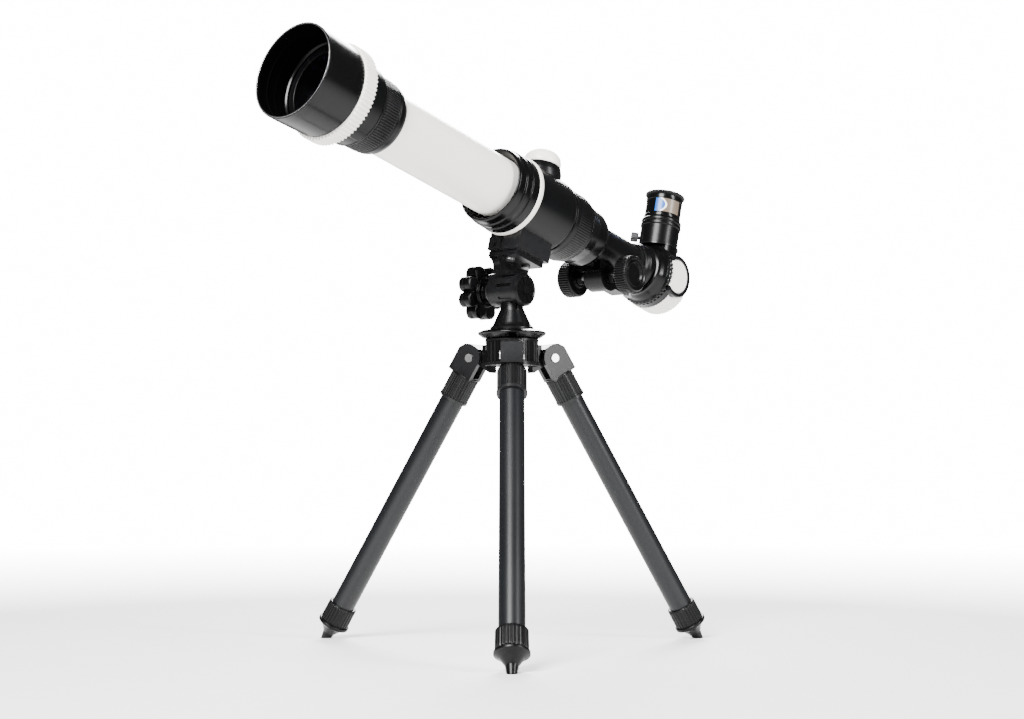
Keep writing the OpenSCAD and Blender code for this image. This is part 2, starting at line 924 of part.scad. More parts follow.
// Socket for the eyepiece with a double-grooved ring at its mouth
module eyepiece_holder() {
  r = holder_r;
  color([0.12, 0.12, 0.125]) eye_frame()
    difference() {
      union() {
        turned_z([
          [barrel_hole_r, holder_z],
          [r, holder_z],
          [r, holder_top - 7.4],
          [r + 0.7, holder_top - 6.8],
          [r + 0.7, holder_top - 5],
          [r - 0.3, holder_top - 4.4],
          [r - 0.3, holder_top - 3.6],
          [r + 0.5, holder_top - 3],
          [r + 0.5, holder_top - 1.2],
          [r - 0.6, holder_top],
          [barrel_hole_r, holder_top]
        ]);
        rotate([0, 0, lock_turn])
          translate([0, 0, holder_z + 6])
            rotate([0, 90, 0])
              difference() {
                cylinder(h = r + 1.6, r = 3.4);
                translate([0, 0, -1]) cylinder(h = r, r = 5);
              }
      }
      rotate([0, 0, lock_turn])
        translate([0, 0, holder_z + 6])
          rotate([0, 90, 0])
            cylinder(h = far, r = 1.5 + run_gap);
    }
}

// Small ribbed thumb screw that clamps the eyepiece
module eyepiece_lock_screw() {
  color([0.3, 0.3, 0.32]) eye_frame()
    rotate([0, 0, lock_turn])
      translate([0, 0, holder_z + 6])
        rotate([0, 90, 0])
          union() {
            translate([0, 0, barrel_hole_r + 0.1]) cylinder(h = 6, r = 1.5);
            translate([0, 0, holder_r + 1.9]) linear_extrude(5.6) ribbed(16, 3.6, 4.1);
          }
}

// Push-in barrel, hollow, with a narrower neck into the eyepiece body
module eyepiece_barrel() {
  r = eyepiece_barrel_dia / 2;
  color([0.78, 0.79, 0.8]) eye_frame()
    turned_z([
      [r - 1.1, holder_z + 1.5],
      [r - 0.3, holder_z + 1.5],
      [r, holder_z + 2],
      [r, eye_base],
      [r - 0.9, eye_base],
      [r - 0.9, eye_base + 4],
      [r - 2, eye_base + 4],
      [r - 2, eye_base - 2],
      [r - 1.1, eye_base - 3]
    ]);
}

module eyepiece_body() {
  r = eyepiece_barrel_dia / 2;
  color([0.03, 0.03, 0.035]) eye_frame()
    turned_z([
      [r - 0.9, eye_base],
      [eye_r - 0.5, eye_base],
      [eye_r, eye_base + 0.6],
      [eye_r, eye_base + 3],
      [eye_r - 0.4, eye_base + 3.2],
      [eye_r - 0.4, eye_top - 7],
      [eye_r, eye_top - 6.8],
      [eye_r, eye_top - 3.4],
      [r - 4, eye_top - 3.4],
      [r - 4, eye_top - 6],
      [r - 0.9, eye_base + 4]
    ]);
}

// Coloured band in the shallow recess round the eyepiece body
module eyepiece_band() {
  color([0.35, 0.6, 0.9]) eye_frame()
    turned_z([
      [eye_r - 0.4, eye_base + 3.3],
      [eye_r - 0.05, eye_base + 3.3],
      [eye_r - 0.05, eye_top - 7.1],
      [eye_r - 0.4, eye_top - 7.1]
    ]);
}

// Flared cup with fine ribs round its rim
module eyecup() {
  r = eyepiece_barrel_dia / 2;
  color([0.04, 0.04, 0.045]) eye_frame()
    union() {
      turned_z([
        [r - 4, eye_top - 3.4],
        [eye_r, eye_top - 3.4],
        [eye_r + 0.2, eye_top - 2.6],
        [eye_r + 0.9, eye_top - 2],
        [eye_r + 0.9, eye_top - 0.4],
        [eye_r, eye_top],
        [eye_r - 2.4, eye_top],
        [r - 4, eye_top - 2.2]
      ]);
      translate([0, 0, eye_top - 1.9])
        linear_extrude(1.4)
          difference() {
            ribbed(48, eye_r + 0.8, eye_r + 1.3);
            circle(r = eye_r - 1);
          }
    }
}

// Eye lens under the cup and field lens low in the barrel
module eyepiece_lenses() {
  r = eyepiece_barrel_dia / 2;
  color([0.75, 0.85, 0.9, 0.5]) eye_frame() {
    intersection() {
      translate([0, 0, eye_top - 6]) cylinder(h = 4, r = r - 4);
      translate([0, 0, eye_top - 3 - 26]) sphere(r = 26);
    }
    intersection() {
      translate([0, 0, holder_z + 4]) cylinder(h = 5, r = r - 1.1);
      translate([0, 0, holder_z + 8.5 - 32]) sphere(r = 32);
    }
  }
}

// Tilt head and turntable

// Lens-shaped disc that turns on the hub
module pan_disc() {
  r = pan_disc_dia / 2;
  color([0.09, 0.09, 0.095]) stand()
    turned_z([
      [4, hub_top + face_gap],
      [hub_radius - 1, hub_top + face_gap],
      [hub_radius + 2, hub_top + 1.2],
      [r, hub_top + 4.2],
      [r, hub_top + 5.4],
      [r - 4, hub_top + 7],
      [r - 9.2, hub_top + 7.8],
      [4, hub_top + 7.8]
    ]);
}

// Waisted neck with four gusset ribs and the barrel of the tilt axis
module pan_head() {
  foot = hub_top + 7.8;
  waist = tilt_z - head_barrel_radius;
  throat = min(-barrel_y0, barrel_y1) - 0.2;
  color([0.06, 0.06, 0.065]) stand()
    difference() {
      union() {
        turned_z([
          [0, foot],
          [16.6, foot],
          [16.6, foot + 1.4],
          [14.6, foot + 3],
          [throat, waist - 1.4],
          [throat, tilt_z],
          [0, tilt_z]
        ]);
        for (a = [0:90:270]) {
          rotate([0, 0, a])
            translate([0, 1.4, 0])
              rotate([90, 0, 0])
                linear_extrude(2.8)
                  polygon([[6, foot + 1], [16.3, foot + 1], [16.2, foot + 3.4], [throat, waist - 0.8],
                           [6, waist - 0.8]]);
        }
        translate([0, 0, tilt_z]) cross(barrel_y0, barrel_y1, head_barrel_radius);
      }
      translate([0, 0, tilt_z]) {
        for (a = [15:45:330]) {
          rotate([0, a, 0])
            translate([head_barrel_radius - 0.9, barrel_y0 + 2.5, -1.1])
              cube([3, barrel_y1 - barrel_y0 - 7, 2.2]);
        }
        cross(barrel_y0 - 1, barrel_y1 + 1, bolt_r);
      }
    }
}

// Cap over the near end of the barrel, with raised spokes
module head_end_cap() {
  r = head_barrel_radius + 0.2;
  color([0.07, 0.07, 0.075]) stand()
    translate([0, 0, tilt_z])
      union() {
        turned_y([
          [0, barrel_y0],
          [r, barrel_y0],
          [r, barrel_y0 - 2],
          [r - 1.6, barrel_y0 - 3.6],
          [r - 2.6, barrel_y0 - 3.6],
          [r - 3, barrel_y0 - 3],
          [3, barrel_y0 - 3],
          [3, barrel_y0 - 3.8],
          [0, barrel_y0 - 4]
        ]);
        for (a = [0:36:324]) {
          rotate([0, a, 0])
            translate([2, barrel_y0 - 3.6, -0.5])
              cube([r - 4.3, 1, 1]);
        }
      }
}

module tilt_bolt() {
  color([0.65, 0.65, 0.68]) stand()
    translate([0, 0, tilt_z])
      cross(barrel_y0, lobes_y1 - 3, bolt_r);
}

module tilt_washer() {
  color([0.4, 0.4, 0.42]) stand()
    translate([0, 0, tilt_z])
      difference() {
        cross(washer_y0, washer_y1, 9.5);
        cross(washer_y0 - 1, washer_y1 + 1, bolt_r + run_gap);
      }
}

// Clamp knob: round boss, core and a ring of lobes with a groove round their tips
module clamp_knob() {
  lobe = clamp_knob_dia * 0.134;
  ring = clamp_knob_dia / 2 - lobe;
  rim = clamp_knob_dia / 2 - 0.8;
  color([0.06, 0.06, 0.065]) stand()
    translate([0, 0, tilt_z])
      difference() {
        union() {
          cross(boss_y0, lobes_y0 + 1, 8);
          cross(lobes_y0 - 2, lobes_y0 + 1, 11);
          translate([0, lobes_y1, 0])
            rotate([90, 0, 0])
              linear_extrude(lobes_y1 - lobes_y0)
                union() {
                  circle(r = ring - 0.5);
                  for (i = [0:clamp_knob_lobes - 1]) {
                    rotate(360 * (i + 0.5) / clamp_knob_lobes)
                      translate([ring, 0])
                        circle(r = lobe);
                  }
                }
        }
        turned_y([
          [rim, lobes_y0 + 5],
          [rim + 3, lobes_y0 + 5],
          [rim + 3, lobes_y0 + 6.3],
          [rim, lobes_y0 + 6.3]
        ]);
        cross(boss_y0 - 1, lobes_y1 - 2.6, bolt_r + run_gap);
        cross(lobes_y1 - 1.4, lobes_y1 + 1, ring - 3.5);
      }
}

// Hub and legs

// Ribbed hub with three hinge lugs and a pocket for the head of the turntable bolt
module hub() {
  color([0.07, 0.07, 0.075]) stand()
    difference() {
      union() {
        translate([0, 0, hub_floor]) cylinder(h = hub_height, r = hub_radius - 1);
        translate([0, 0, hub_floor + 1.5])
          linear_extrude(hub_height - 2.5)
            rotate(3)
              ribbed(30, hub_radius - 0.7, hub_radius);
        translate([0, 0, hub_top - 1.8]) cylinder(h = 1.8, r = hub_radius + 0.3);
        translate([0, 0, hub_floor]) cylinder(h = 2.6, r = hub_radius + 0.8);
        for (a = head_turns) {
          rotate([0, 0, a])
            translate([0, lug_thick / 2, 0])
              rotate([90, 0, 0])
                linear_extrude(lug_thick)
                  union() {
                    translate([hinge_radius, hinge_z]) circle(r = lug_round);
                    translate([hub_radius - 4, hub_floor])
                      square([hinge_radius - hub_radius + 4, lug_round + 3]);
                    translate([hub_radius - 4, hinge_z])
                      square([hinge_radius - stop_reach - 0.2 - hub_radius + 4, stop_high]);
                    polygon([[hub_radius - 4, hub_floor - 5], [hub_radius - 2, hub_floor - 5],
                             [hinge_radius - 6, hub_floor + 1], [hub_radius - 4, hub_floor + 1]]);
                  }
        }
      }
      translate([0, 0, hub_floor - 1]) cylinder(h = 9.8, r = 11);
      translate([0, 0, hub_floor]) cylinder(h = far, r = 4 + run_gap);
      for (a = head_turns) {
        rotate([0, 0, a])
          translate([hinge_radius, 0, hinge_z])
            cross(-lug_thick, lug_thick, pin_r);
      }
    }
}

// Shouldered bolt from under the hub into the turntable disc
module pan_bolt() {
  color([0.6, 0.6, 0.63]) stand()
    union() {
      translate([0, 0, hub_floor + 4.3]) cylinder(h = 4.2, r = 7);
      translate([0, 0, hub_floor + 4.3]) cylinder(h = hub_top + 7.8 - hub_floor - 4.3, r = 4);
    }
}

// Three round-headed hinge pins, pressed into the hub lugs
module hinge_pins() {
  color([0.8, 0.8, 0.8]) stand()
    for (a = head_turns) {
      rotate([0, 0, a])
        translate([hinge_radius, 0, hinge_z])
          union() {
            cross(-fork_half - 0.4, fork_half + 0.4, pin_r);
            cross(-fork_half - 1, -fork_half - 0.2, pin_r + 1.2);
            cross(fork_half + 0.2, fork_half + 1, pin_r + 1.2);
          }
    }
}

// Fork that straddles a lug, with a stop bar over it and a ribbed collar below
module leg_head(turn) {
  color([0.16, 0.16, 0.17]) leg_frame(turn)
    difference() {
      union() {
        difference() {
          translate([0, fork_half, 0])
            rotate([90, 0, 0])
              linear_extrude(2 * fork_half)
                union() {
                  circle(r = 9.3);
                  polygon([[-9, -15.5], [-9, 0], [-stop_back, 5], [-stop_back, stop_high],
                           [4.6, stop_high], [9, 7.8], [12.3, 3], [12.3, -15.5]]);
                }
          translate([-20, -lug_thick / 2 - face_gap, -13])
            cube([29.3, lug_thick + 2 * face_gap, 13 + stop_low]);
          translate([-20, -lug_thick / 2 - face_gap, 0])
            cube([20 - stop_back, lug_thick + 2 * face_gap, 20]);
        }
        translate([0, 0, -36]) linear_extrude(20.6) ribbed(30, leg_tube_r + 1.5, leg_tube_r + 2.1);
        translate([0, 0, -15.6]) cylinder(h = 1.6, r = leg_tube_r + 1.2);
        translate([0, 0, -36]) cylinder(h = 2.4, r = leg_tube_r + 2.4);
      }
      difference() {
        translate([0, 0, -37]) cylinder(h = 21, r = leg_tube_r);
        translate([0, 0, -30]) cylinder(h = 16, r = leg_tube_r - 1);
      }
      cross(-fork_half - 1, fork_half + 1, pin_r + run_gap);
    }
}

module leg_tube(turn) {
  color([0.1, 0.1, 0.11]) leg_frame(turn)
    translate([0, 0, -foot_flange])
      difference() {
        cylinder(h = foot_flange - 16, r = leg_tube_r);
        translate([0, 0, -1]) cylinder(h = foot_flange, r = leg_tube_r - 1);
      }
}

// Foot: ribbed cup, flange and blunt tip cut level with the floor
module leg_foot(turn) {
  color([0.05, 0.05, 0.055])
    difference() {
      leg_frame(turn)
        difference() {
          union() {
            translate([0, 0, -foot_flange])
              linear_extrude(foot_flange - foot_top)
                ribbed(26, leg_tube_r + 1.7, leg_tube_r + 2.3);
            turned_z([
              [0, -foot_flange],
              [foot_flange_r - 0.5, -foot_flange],
              [foot_flange_r, -foot_flange - 0.5],
              [foot_flange_r, -foot_cone],
              [leg_tube_r + 2.2, -foot_cone - 0.4],
              [leg_tube_r - 0.3, -foot_cone - 2.8],
              [7.6, -foot_cone - 5],
              [6.3, -foot_cone - 7.6],
              [4.7, -foot_cone - 10.4],
              [3.4, -leg_length - 4],
              [0, -leg_length - 4]
            ]);
          }
          translate([0, 0, -foot_flange]) cylinder(h = far, r = leg_tube_r);
        }
      translate([-far, -far, -50]) cube([2 * far, 2 * far, 50]);
    }
}

module leg_head_left() {
  leg_head(head_turns[0]);
}

module leg_head_front() {
  leg_head(head_turns[1]);
}

module leg_head_right() {
  leg_head(head_turns[2]);
}

module leg_tube_left() {
  leg_tube(head_turns[0]);
}

module leg_tube_front() {
  leg_tube(head_turns[1]);
}

module leg_tube_right() {
  leg_tube(head_turns[2]);
}

module leg_foot_left() {
  leg_foot(head_turns[0]);
}

module leg_foot_front() {
  leg_foot(head_turns[1]);
}

module leg_foot_right() {
  leg_foot(head_turns[2]);
}

lens_hood();
hood_ring();
objective_cell();
lens_retainer();
objective_lens();
main_tube();
tube_baffle();
front_collar();
trim_ring();
rear_housing();
tail_cone();
compass_base();
compass_bezel();
compass_dial();
compass_needle();
compass_window();
saddle_block();
tilt_arm();
saddle_screws();
focuser_body();
draw_tube();
focus_rack();
draw_collar();
draw_lock_screw();
focus_shaft();
focus_pinion();
focus_knob_near();
focus_knob_far();
diagonal_collar();
diagonal_body();
diagonal_mirror();
diagonal_rear_ring();
diagonal_back_plate();
side_bezel();
side_cover();
eyepiece_holder();
eyepiece_lock_screw();
eyepiece_barrel();
eyepiece_body();
eyepiece_band();
eyecup();
eyepiece_lenses();
pan_disc();
pan_head();
head_end_cap();
tilt_bolt();
tilt_washer();
clamp_knob();
hub();
pan_bolt();
hinge_pins();
leg_head_left();
leg_head_front();
leg_head_right();
leg_tube_left();
leg_tube_front();
leg_tube_right();
leg_foot_left();
leg_foot_front();
leg_foot_right();
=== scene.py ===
# Small refracting telescope on a folding table-top tripod.
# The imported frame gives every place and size; lengths in the dictionaries are millimetres.
import json
import math

import bmesh
import bpy
import numpy as np
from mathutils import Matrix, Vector


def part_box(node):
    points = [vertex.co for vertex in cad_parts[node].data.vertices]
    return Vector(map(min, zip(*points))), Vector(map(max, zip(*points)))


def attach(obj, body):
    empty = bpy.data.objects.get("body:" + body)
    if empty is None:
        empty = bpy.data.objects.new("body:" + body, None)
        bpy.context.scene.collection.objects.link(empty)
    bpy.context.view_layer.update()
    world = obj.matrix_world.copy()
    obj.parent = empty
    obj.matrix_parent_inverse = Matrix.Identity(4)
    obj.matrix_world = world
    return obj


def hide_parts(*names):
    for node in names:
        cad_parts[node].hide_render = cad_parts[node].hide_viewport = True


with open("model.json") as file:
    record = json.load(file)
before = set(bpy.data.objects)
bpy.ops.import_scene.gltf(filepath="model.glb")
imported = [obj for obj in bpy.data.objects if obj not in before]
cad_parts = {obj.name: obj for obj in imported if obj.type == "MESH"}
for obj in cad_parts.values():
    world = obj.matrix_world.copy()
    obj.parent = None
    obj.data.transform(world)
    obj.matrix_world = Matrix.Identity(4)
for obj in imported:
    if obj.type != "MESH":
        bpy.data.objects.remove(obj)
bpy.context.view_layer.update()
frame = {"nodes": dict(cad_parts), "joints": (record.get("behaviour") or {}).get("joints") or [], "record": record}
nodes = frame["nodes"]
joints = {j["name"]: j for j in frame["joints"]}
mounts = {m["name"]: m for m in frame["record"]["mounts"]}
bodyOf = {n: b for b, names in frame["record"]["behaviour"]["bodies"].items() for n in names}
print("frame loaded:", len(nodes), "nodes")


# Places: an origin with three directions; a piece is turned about "along"

# A direction scaled to length 1
def unit(v):
    v = np.array(v, float)
    return v / np.linalg.norm(v)


# An origin, the axis, the sideways direction squared to it, and their cross product
def place(origin, along, side):
    along = unit(along)
    side = unit(np.array(side, float) - np.dot(side, along) * along)
    return {"origin": np.array(origin, float), "axes": np.stack([along, side, np.cross(along, side)])}


# Millimetres in a place, turned back into metres of the frame
def outOf(spot, points):
    return spot["origin"] + (points / 1000) @ spot["axes"]


# All points of a CAD node as one array
def nodePoints(node):
    mesh = nodes[node].data
    co = np.empty(len(mesh.vertices) * 3, np.float32)
    mesh.vertices.foreach_get("co", co)
    return co.reshape(-1, 3).astype(float)


# First and last station of a node along a place's axis, and its greatest radius
def span(spot, node):
    local = (nodePoints(node) - spot["origin"]) @ spot["axes"].T * 1000
    return local[:, 0].min(), local[:, 0].max(), np.hypot(local[:, 1], local[:, 2]).max()


# The same place, its origin slid along the axis by millimetres
def moved(spot, along):
    return {"origin": spot["origin"] + spot["axes"][0] * along / 1000, "axes": spot["axes"]}


opticalAxis = joints["focus_slide"]["axis"]
scope = place(mounts["hood_mouth"]["pos_m"], opticalAxis, (0, 1, 0))
scope = moved(scope, span(scope, "trim_ring")[1])
upright = joints["eyepiece_slide"]["axis"]
eyeCentre = (Vector(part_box("eyepiece_barrel")[0]) + Vector(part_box("eyepiece_barrel")[1])) / 2
eye = place(eyeCentre, upright, opticalAxis)
compass = place(joints["compass_needle_swing"]["pos_m"], upright, opticalAxis)
tiltPin = place(joints["tilt"]["pos_m"], (0, 1, 0), (0, 0, 1))
focusPin = place(joints["focus_knob_turn"]["pos_m"], (0, 1, 0), (0, 0, 1))
column = place(joints["turntable"]["pos_m"], (0, 0, 1), (1, 0, 0))


# A leg's place: from its hinge along the middle line of its tube
def legPlace(which):
    fold = joints["leg_%s_fold" % which]
    pivot = np.array(fold["pos_m"])
    return place(pivot, nodePoints("leg_tube_" + which).mean(0) - pivot, fold["axis"])


# Surfaces

# Corners of an outline softened: each corner becomes a quadratic arc between two nearby points
def softened(outline, soft, closed, arc=5):
    p = np.array(outline, float)
    before, after = np.roll(p, 1, 0), np.roll(p, -1, 0)
    reach = np.full(len(p), soft, float)
    toBefore = np.linalg.norm(before - p, axis=1)
    toAfter = np.linalg.norm(after - p, axis=1)
    a = p + (before - p) * np.minimum(reach / toBefore, 0.45)[:, None]
    b = p + (after - p) * np.minimum(reach / toAfter, 0.45)[:, None]
    t = np.linspace(0, 1, arc)[None, :, None]
    arcs = (1 - t) ** 2 * a[:, None] + 2 * t * (1 - t) * p[:, None] + t ** 2 * b[:, None]
    if closed:
        return arcs.reshape(-1, 2)
    return np.concatenate([p[:1], arcs[1:-1].reshape(-1, 2), p[-1:]])


# An outline with no stretch longer than step, and a row at each mark it crosses
def divided(rows, step, marks, closed):
    ends = np.roll(rows, -1, 0) if closed else rows[1:]
    starts = rows if closed else rows[:-1]
    out = []
    for a, b in zip(starts, ends):
        cuts = np.linspace(0, 1, max(1, math.ceil(np.linalg.norm(b - a) / step)) + 1)[:-1]
        if abs(b[0] - a[0]) > 1e-9:
            hits = (np.array(marks, float) - a[0]) / (b[0] - a[0])
            cuts = np.unique(np.concatenate([cuts, hits[(hits > 0) & (hits < 1)]]))
        out.append(a + cuts[:, None] * (b - a))
    if not closed:
        out.append(rows[-1:])
    return np.concatenate(out)


# Smooth step from 0 to 1 over the width before and after an edge
def ramp(x, edge, width):
    t = np.clip((x - edge) / width + 0.5, 0, 1)
    return t * t * (3 - 2 * t)


# Tooth wave round a circle: 1 on a tooth, 0 in a gap, with rounded flanks
def toothWave(angle, count, duty=0.0, sharp=3.0):
    return 0.5 + 0.5 * np.tanh(sharp * (np.cos(count * angle) + duty)) / math.tanh(sharp)


# A mesh from points and four-sided faces, turned right side out by the sign of its volume
def newMesh(name, points, quads):
    corner = points[quads]
    volume = np.einsum("ij,ij->i", corner[:, 0], np.cross(corner[:, 1], corner[:, 2])).sum()
    volume += np.einsum("ij,ij->i", corner[:, 0], np.cross(corner[:, 2], corner[:, 3])).sum()
    if volume < 0:
        quads = quads[:, ::-1]
    mesh = bpy.data.meshes.new(name)
    mesh.vertices.add(len(points))
    mesh.vertices.foreach_set("co", points.astype(np.float32).ravel())
    mesh.loops.add(quads.size)
    mesh.loops.foreach_set("vertex_index", quads.astype(np.int32).ravel())
    mesh.polygons.add(len(quads))
    mesh.polygons.foreach_set("loop_start", np.arange(0, quads.size, 4, dtype=np.int32))
    mesh.polygons.foreach_set("use_smooth", np.full(len(quads), True))
    mesh.update(calc_edges=True)
    mesh.validate()
    return mesh


# Faces of a grid that closes round, and also from the last row to the first when closed
def gridQuads(rows, around, closed):
    i = np.arange(rows if closed else rows - 1)[:, None]
    j = np.arange(around)[None, :]
    nextI, nextJ = (i + 1) % rows, (j + 1) % around
    return np.stack([i * around + j, i * around + nextJ, nextI * around + nextJ,
                     nextI * around + j], -1).reshape(-1, 4)


# Points nearer than the distance made one, and faces with no area taken away
def welded(mesh, distance=1e-6):
    bm = bmesh.new()
    bm.from_mesh(mesh)
    bmesh.ops.remove_doubles(bm, verts=bm.verts, dist=distance)
    bmesh.ops.dissolve_degenerate(bm, edges=bm.edges, dist=1e-8)
    bm.to_mesh(mesh)
    bm.free()
    mesh.update()


# A piece in the scene: its finish, the body it rides on and the CAD nodes it stands for
def show(name, mesh, look, body, stands=()):
    piece = bpy.data.objects.new(name, mesh)
    bpy.context.scene.collection.objects.link(piece)
    mesh.materials.clear()
    mesh.materials.append(looks[look])
    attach(piece, body)
    if stands:
        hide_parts(*stands)
    return piece


# A turned piece: radius = outline radius + rib depth x window along x tooth wave round
def turned(name, spot, outline, look, body, stands=(), soft=0.35, around=160, step=2.5,
           ribs=(), shape=None):
    closed = not (outline[0][1] == 0 and outline[-1][1] == 0)
    marks = [m for rib in ribs for m in (rib["from"] - 0.2, rib["from"] + 0.2,
                                         rib["to"] - 0.2, rib["to"] + 0.2)]
    rows = divided(softened(outline, soft, closed), step, marks or [1e6], closed)
    angle = np.arange(around) * 2 * math.pi / around
    s, r = rows[:, :1], rows[:, 1:]
    radius = r + 0 * angle[None, :]
    for rib in ribs:
        along = ramp(s, rib["from"], 0.4) * (1 - ramp(s, rib["to"], 0.4))
        wave = toothWave(angle, rib["count"], rib.get("duty", 0.0), rib.get("sharp", 3.0))
        if "arc" in rib:
            low, high = np.radians(rib["arc"])
            wave = ramp(angle, low, 0.05) * (1 - ramp(angle, high, 0.05))
        radius = radius + (r > rib.get("above", 0)) * rib["depth"] * along * wave[None, :]
    if shape is not None:
        radius = shape(s, angle[None, :], radius)
    local = np.stack([s + 0 * radius, radius * np.cos(angle), radius * np.sin(angle)], -1)
    points = outOf(spot, local.reshape(-1, 3))
    points[:, 2] = np.maximum(points[:, 2], 0)
    mesh = newMesh(name, points, gridQuads(len(rows), around, closed))
    if not closed:
        welded(mesh)
    return show(name, mesh, look, body, stands)


# A CAD piece kept as it is: a merged copy with smooth curved faces and crisp edges
def kept(node, look, crease=32):
    mesh = nodes[node].data.copy()
    mesh.name = node + "_finished"
    welded(mesh)
    for extra in ("custom_normal", "sharp_face"):
        if extra in mesh.attributes:
            mesh.attributes.remove(mesh.attributes[extra])
    mesh.shade_smooth()
    mesh.set_sharp_from_angle(angle=math.radians(crease))
    return show(node + "_finished", mesh, look, bodyOf[node], [node])


# Finishes

# An empty node group with its named inputs and outputs
def newGroup(name, inputs, outputs):
    group = bpy.data.node_groups.new(name, "ShaderNodeTree")
    for label, kind, value in inputs:
        socket = group.interface.new_socket(name=label, in_out="INPUT", socket_type=kind)
        if value is not None:
            socket.default_value = value
    for label, kind in outputs:
        group.interface.new_socket(name=label, in_out="OUTPUT", socket_type=kind)
    return group, group.nodes.new("NodeGroupInput"), group.nodes.new("NodeGroupOutput")


# A link from an output to an input
def joined(tree, source, target):
    tree.links.new(source, target)


# One sum of two values, each a number or an output
def mathNode(tree, operation, a, b=None, clamp=False):
    node = tree.nodes.new("ShaderNodeMath")
    node.operation = operation
    node.use_clamp = clamp
    for socket, value in zip(node.inputs, (a, b)):
        if isinstance(value, (int, float)):
            socket.default_value = value
        elif value is not None:
            tree.links.new(value, socket)
    return node.outputs[0]


# Noise between 0 and 1 at a scale, in repeats to the metre
def noiseNode(tree, vector, scale, detail=4.0, rough=0.55):
    node = tree.nodes.new("ShaderNodeTexNoise")
    node.inputs["Detail"].default_value = detail
    node.inputs["Roughness"].default_value = rough
    tree.links.new(vector, node.inputs["Vector"])
    if isinstance(scale, (int, float)):
        node.inputs["Scale"].default_value = scale
    else:
        tree.links.new(scale, node.inputs["Scale"])
    return node.outputs["Fac"]


floatIn, colourIn, vectorIn = "NodeSocketFloat", "NodeSocketColor", "NodeSocketVector"


# Moulded grain: fine noise and pinhead cells for height, broad noise for mottling
def makeGrain():
    tree, start, end = newGroup("moulded grain",
                                [("Vector", vectorIn, None), ("Scale", floatIn, 900.0)],
                                [("Height", floatIn), ("Mottle", floatIn)])
    fine = noiseNode(tree, start.outputs["Vector"], start.outputs["Scale"], 3.0, 0.6)
    cells = tree.nodes.new("ShaderNodeTexVoronoi")
    joined(tree, start.outputs["Vector"], cells.inputs["Vector"])
    joined(tree, mathNode(tree, "MULTIPLY", start.outputs["Scale"], 1.7), cells.inputs["Scale"])
    pits = mathNode(tree, "MULTIPLY", cells.outputs["Distance"], 0.45)
    raised = mathNode(tree, "ADD", mathNode(tree, "MULTIPLY", fine, 0.55), pits)
    joined(tree, raised, end.inputs["Height"])
    joined(tree, noiseNode(tree, start.outputs["Vector"], 38.0, 5.0, 0.6), end.inputs["Mottle"])
    return tree


# Handling marks: smears and hairline scuffs that move the roughness between two values
def makeHandling():
    tree, start, end = newGroup("handling marks",
                                [("Vector", vectorIn, None), ("Low", floatIn, 0.2), ("High", floatIn, 0.4)],
                                [("Roughness", floatIn)])
    smear = noiseNode(tree, start.outputs["Vector"], 24.0, 6.0, 0.62)
    stretch = tree.nodes.new("ShaderNodeMapping")
    stretch.inputs["Scale"].default_value = (60, 900, 700)
    stretch.inputs["Rotation"].default_value = (0.3, 0.7, 0.4)
    joined(tree, start.outputs["Vector"], stretch.inputs["Vector"])
    hair = noiseNode(tree, stretch.outputs["Vector"], 1.0, 2.0, 0.5)
    hair = mathNode(tree, "MULTIPLY", mathNode(tree, "GREATER_THAN", hair, 0.71), 0.5)
    both = mathNode(tree, "ADD", smear, hair, clamp=True)
    reach = mathNode(tree, "SUBTRACT", start.outputs["High"], start.outputs["Low"])
    joined(tree, mathNode(tree, "ADD", mathNode(tree, "MULTIPLY", both, reach), start.outputs["Low"]),
           end.inputs["Roughness"])
    return tree


# Settled dust: faint specks and film on faces that look up
def makeDust():
    tree, start, end = newGroup("settled dust",
                                [("Vector", vectorIn, None), ("Color", colourIn, None),
                                 ("Dust", colourIn, (0.3, 0.29, 0.27, 1)), ("Amount", floatIn, 0.1)],
                                [("Color", colourIn)])
    faces = tree.nodes.new("ShaderNodeNewGeometry")
    parts = tree.nodes.new("ShaderNodeSeparateXYZ")
    joined(tree, faces.outputs["Normal"], parts.inputs[0])
    up = mathNode(tree, "POWER", mathNode(tree, "MAXIMUM", parts.outputs["Z"], 0.0), 2.0)
    specks = noiseNode(tree, start.outputs["Vector"], 420.0, 8.0, 0.75)
    specks = mathNode(tree, "MULTIPLY", mathNode(tree, "SUBTRACT", specks, 0.42), 3.0, clamp=True)
    film = mathNode(tree, "MULTIPLY", up, specks)
    amount = mathNode(tree, "MULTIPLY", film, start.outputs["Amount"])
    mix = tree.nodes.new("ShaderNodeMix")
    mix.data_type = "RGBA"
    joined(tree, amount, mix.inputs["Factor"])
    joined(tree, start.outputs["Color"], mix.inputs["A"])
    joined(tree, start.outputs["Dust"], mix.inputs["B"])
    joined(tree, mix.outputs["Result"], end.inputs["Color"])
    return tree


# Edge wear and painted edge highlight: a mask that is 1 on convex edges, broken up by noise; the lighter colour it
# lays on edges is partly wear and partly painted highlight
def makeEdgeWearAndHighlight():
    tree, start, end = newGroup("edge wear and painted edge highlight", [("Vector", vectorIn, None), ("Reach", floatIn, 0.53)],
                                [("Mask", floatIn)])
    faces = tree.nodes.new("ShaderNodeNewGeometry")
    over = mathNode(tree, "SUBTRACT", faces.outputs["Pointiness"], start.outputs["Reach"])
    edge = mathNode(tree, "MULTIPLY", over, 14.0, clamp=True)
    broken = noiseNode(tree, start.outputs["Vector"], 160.0, 6.0, 0.7)
    joined(tree, mathNode(tree, "MULTIPLY", edge, broken), end.inputs["Mask"])
    return tree


grainGroup, handlingGroup, dustGroup, edgeWearHighlightGroup = makeGrain(), makeHandling(), makeDust(), makeEdgeWearAndHighlight()


# A shared effect placed in a material with its own values
def groupNode(tree, group, vector, **values):
    node = tree.nodes.new("ShaderNodeGroup")
    node.node_tree = group
    joined(tree, vector, node.inputs["Vector"])
    for label, value in values.items():
        if isinstance(value, (int, float, tuple)):
            node.inputs[label].default_value = value
        else:
            joined(tree, value, node.inputs[label])
    return node


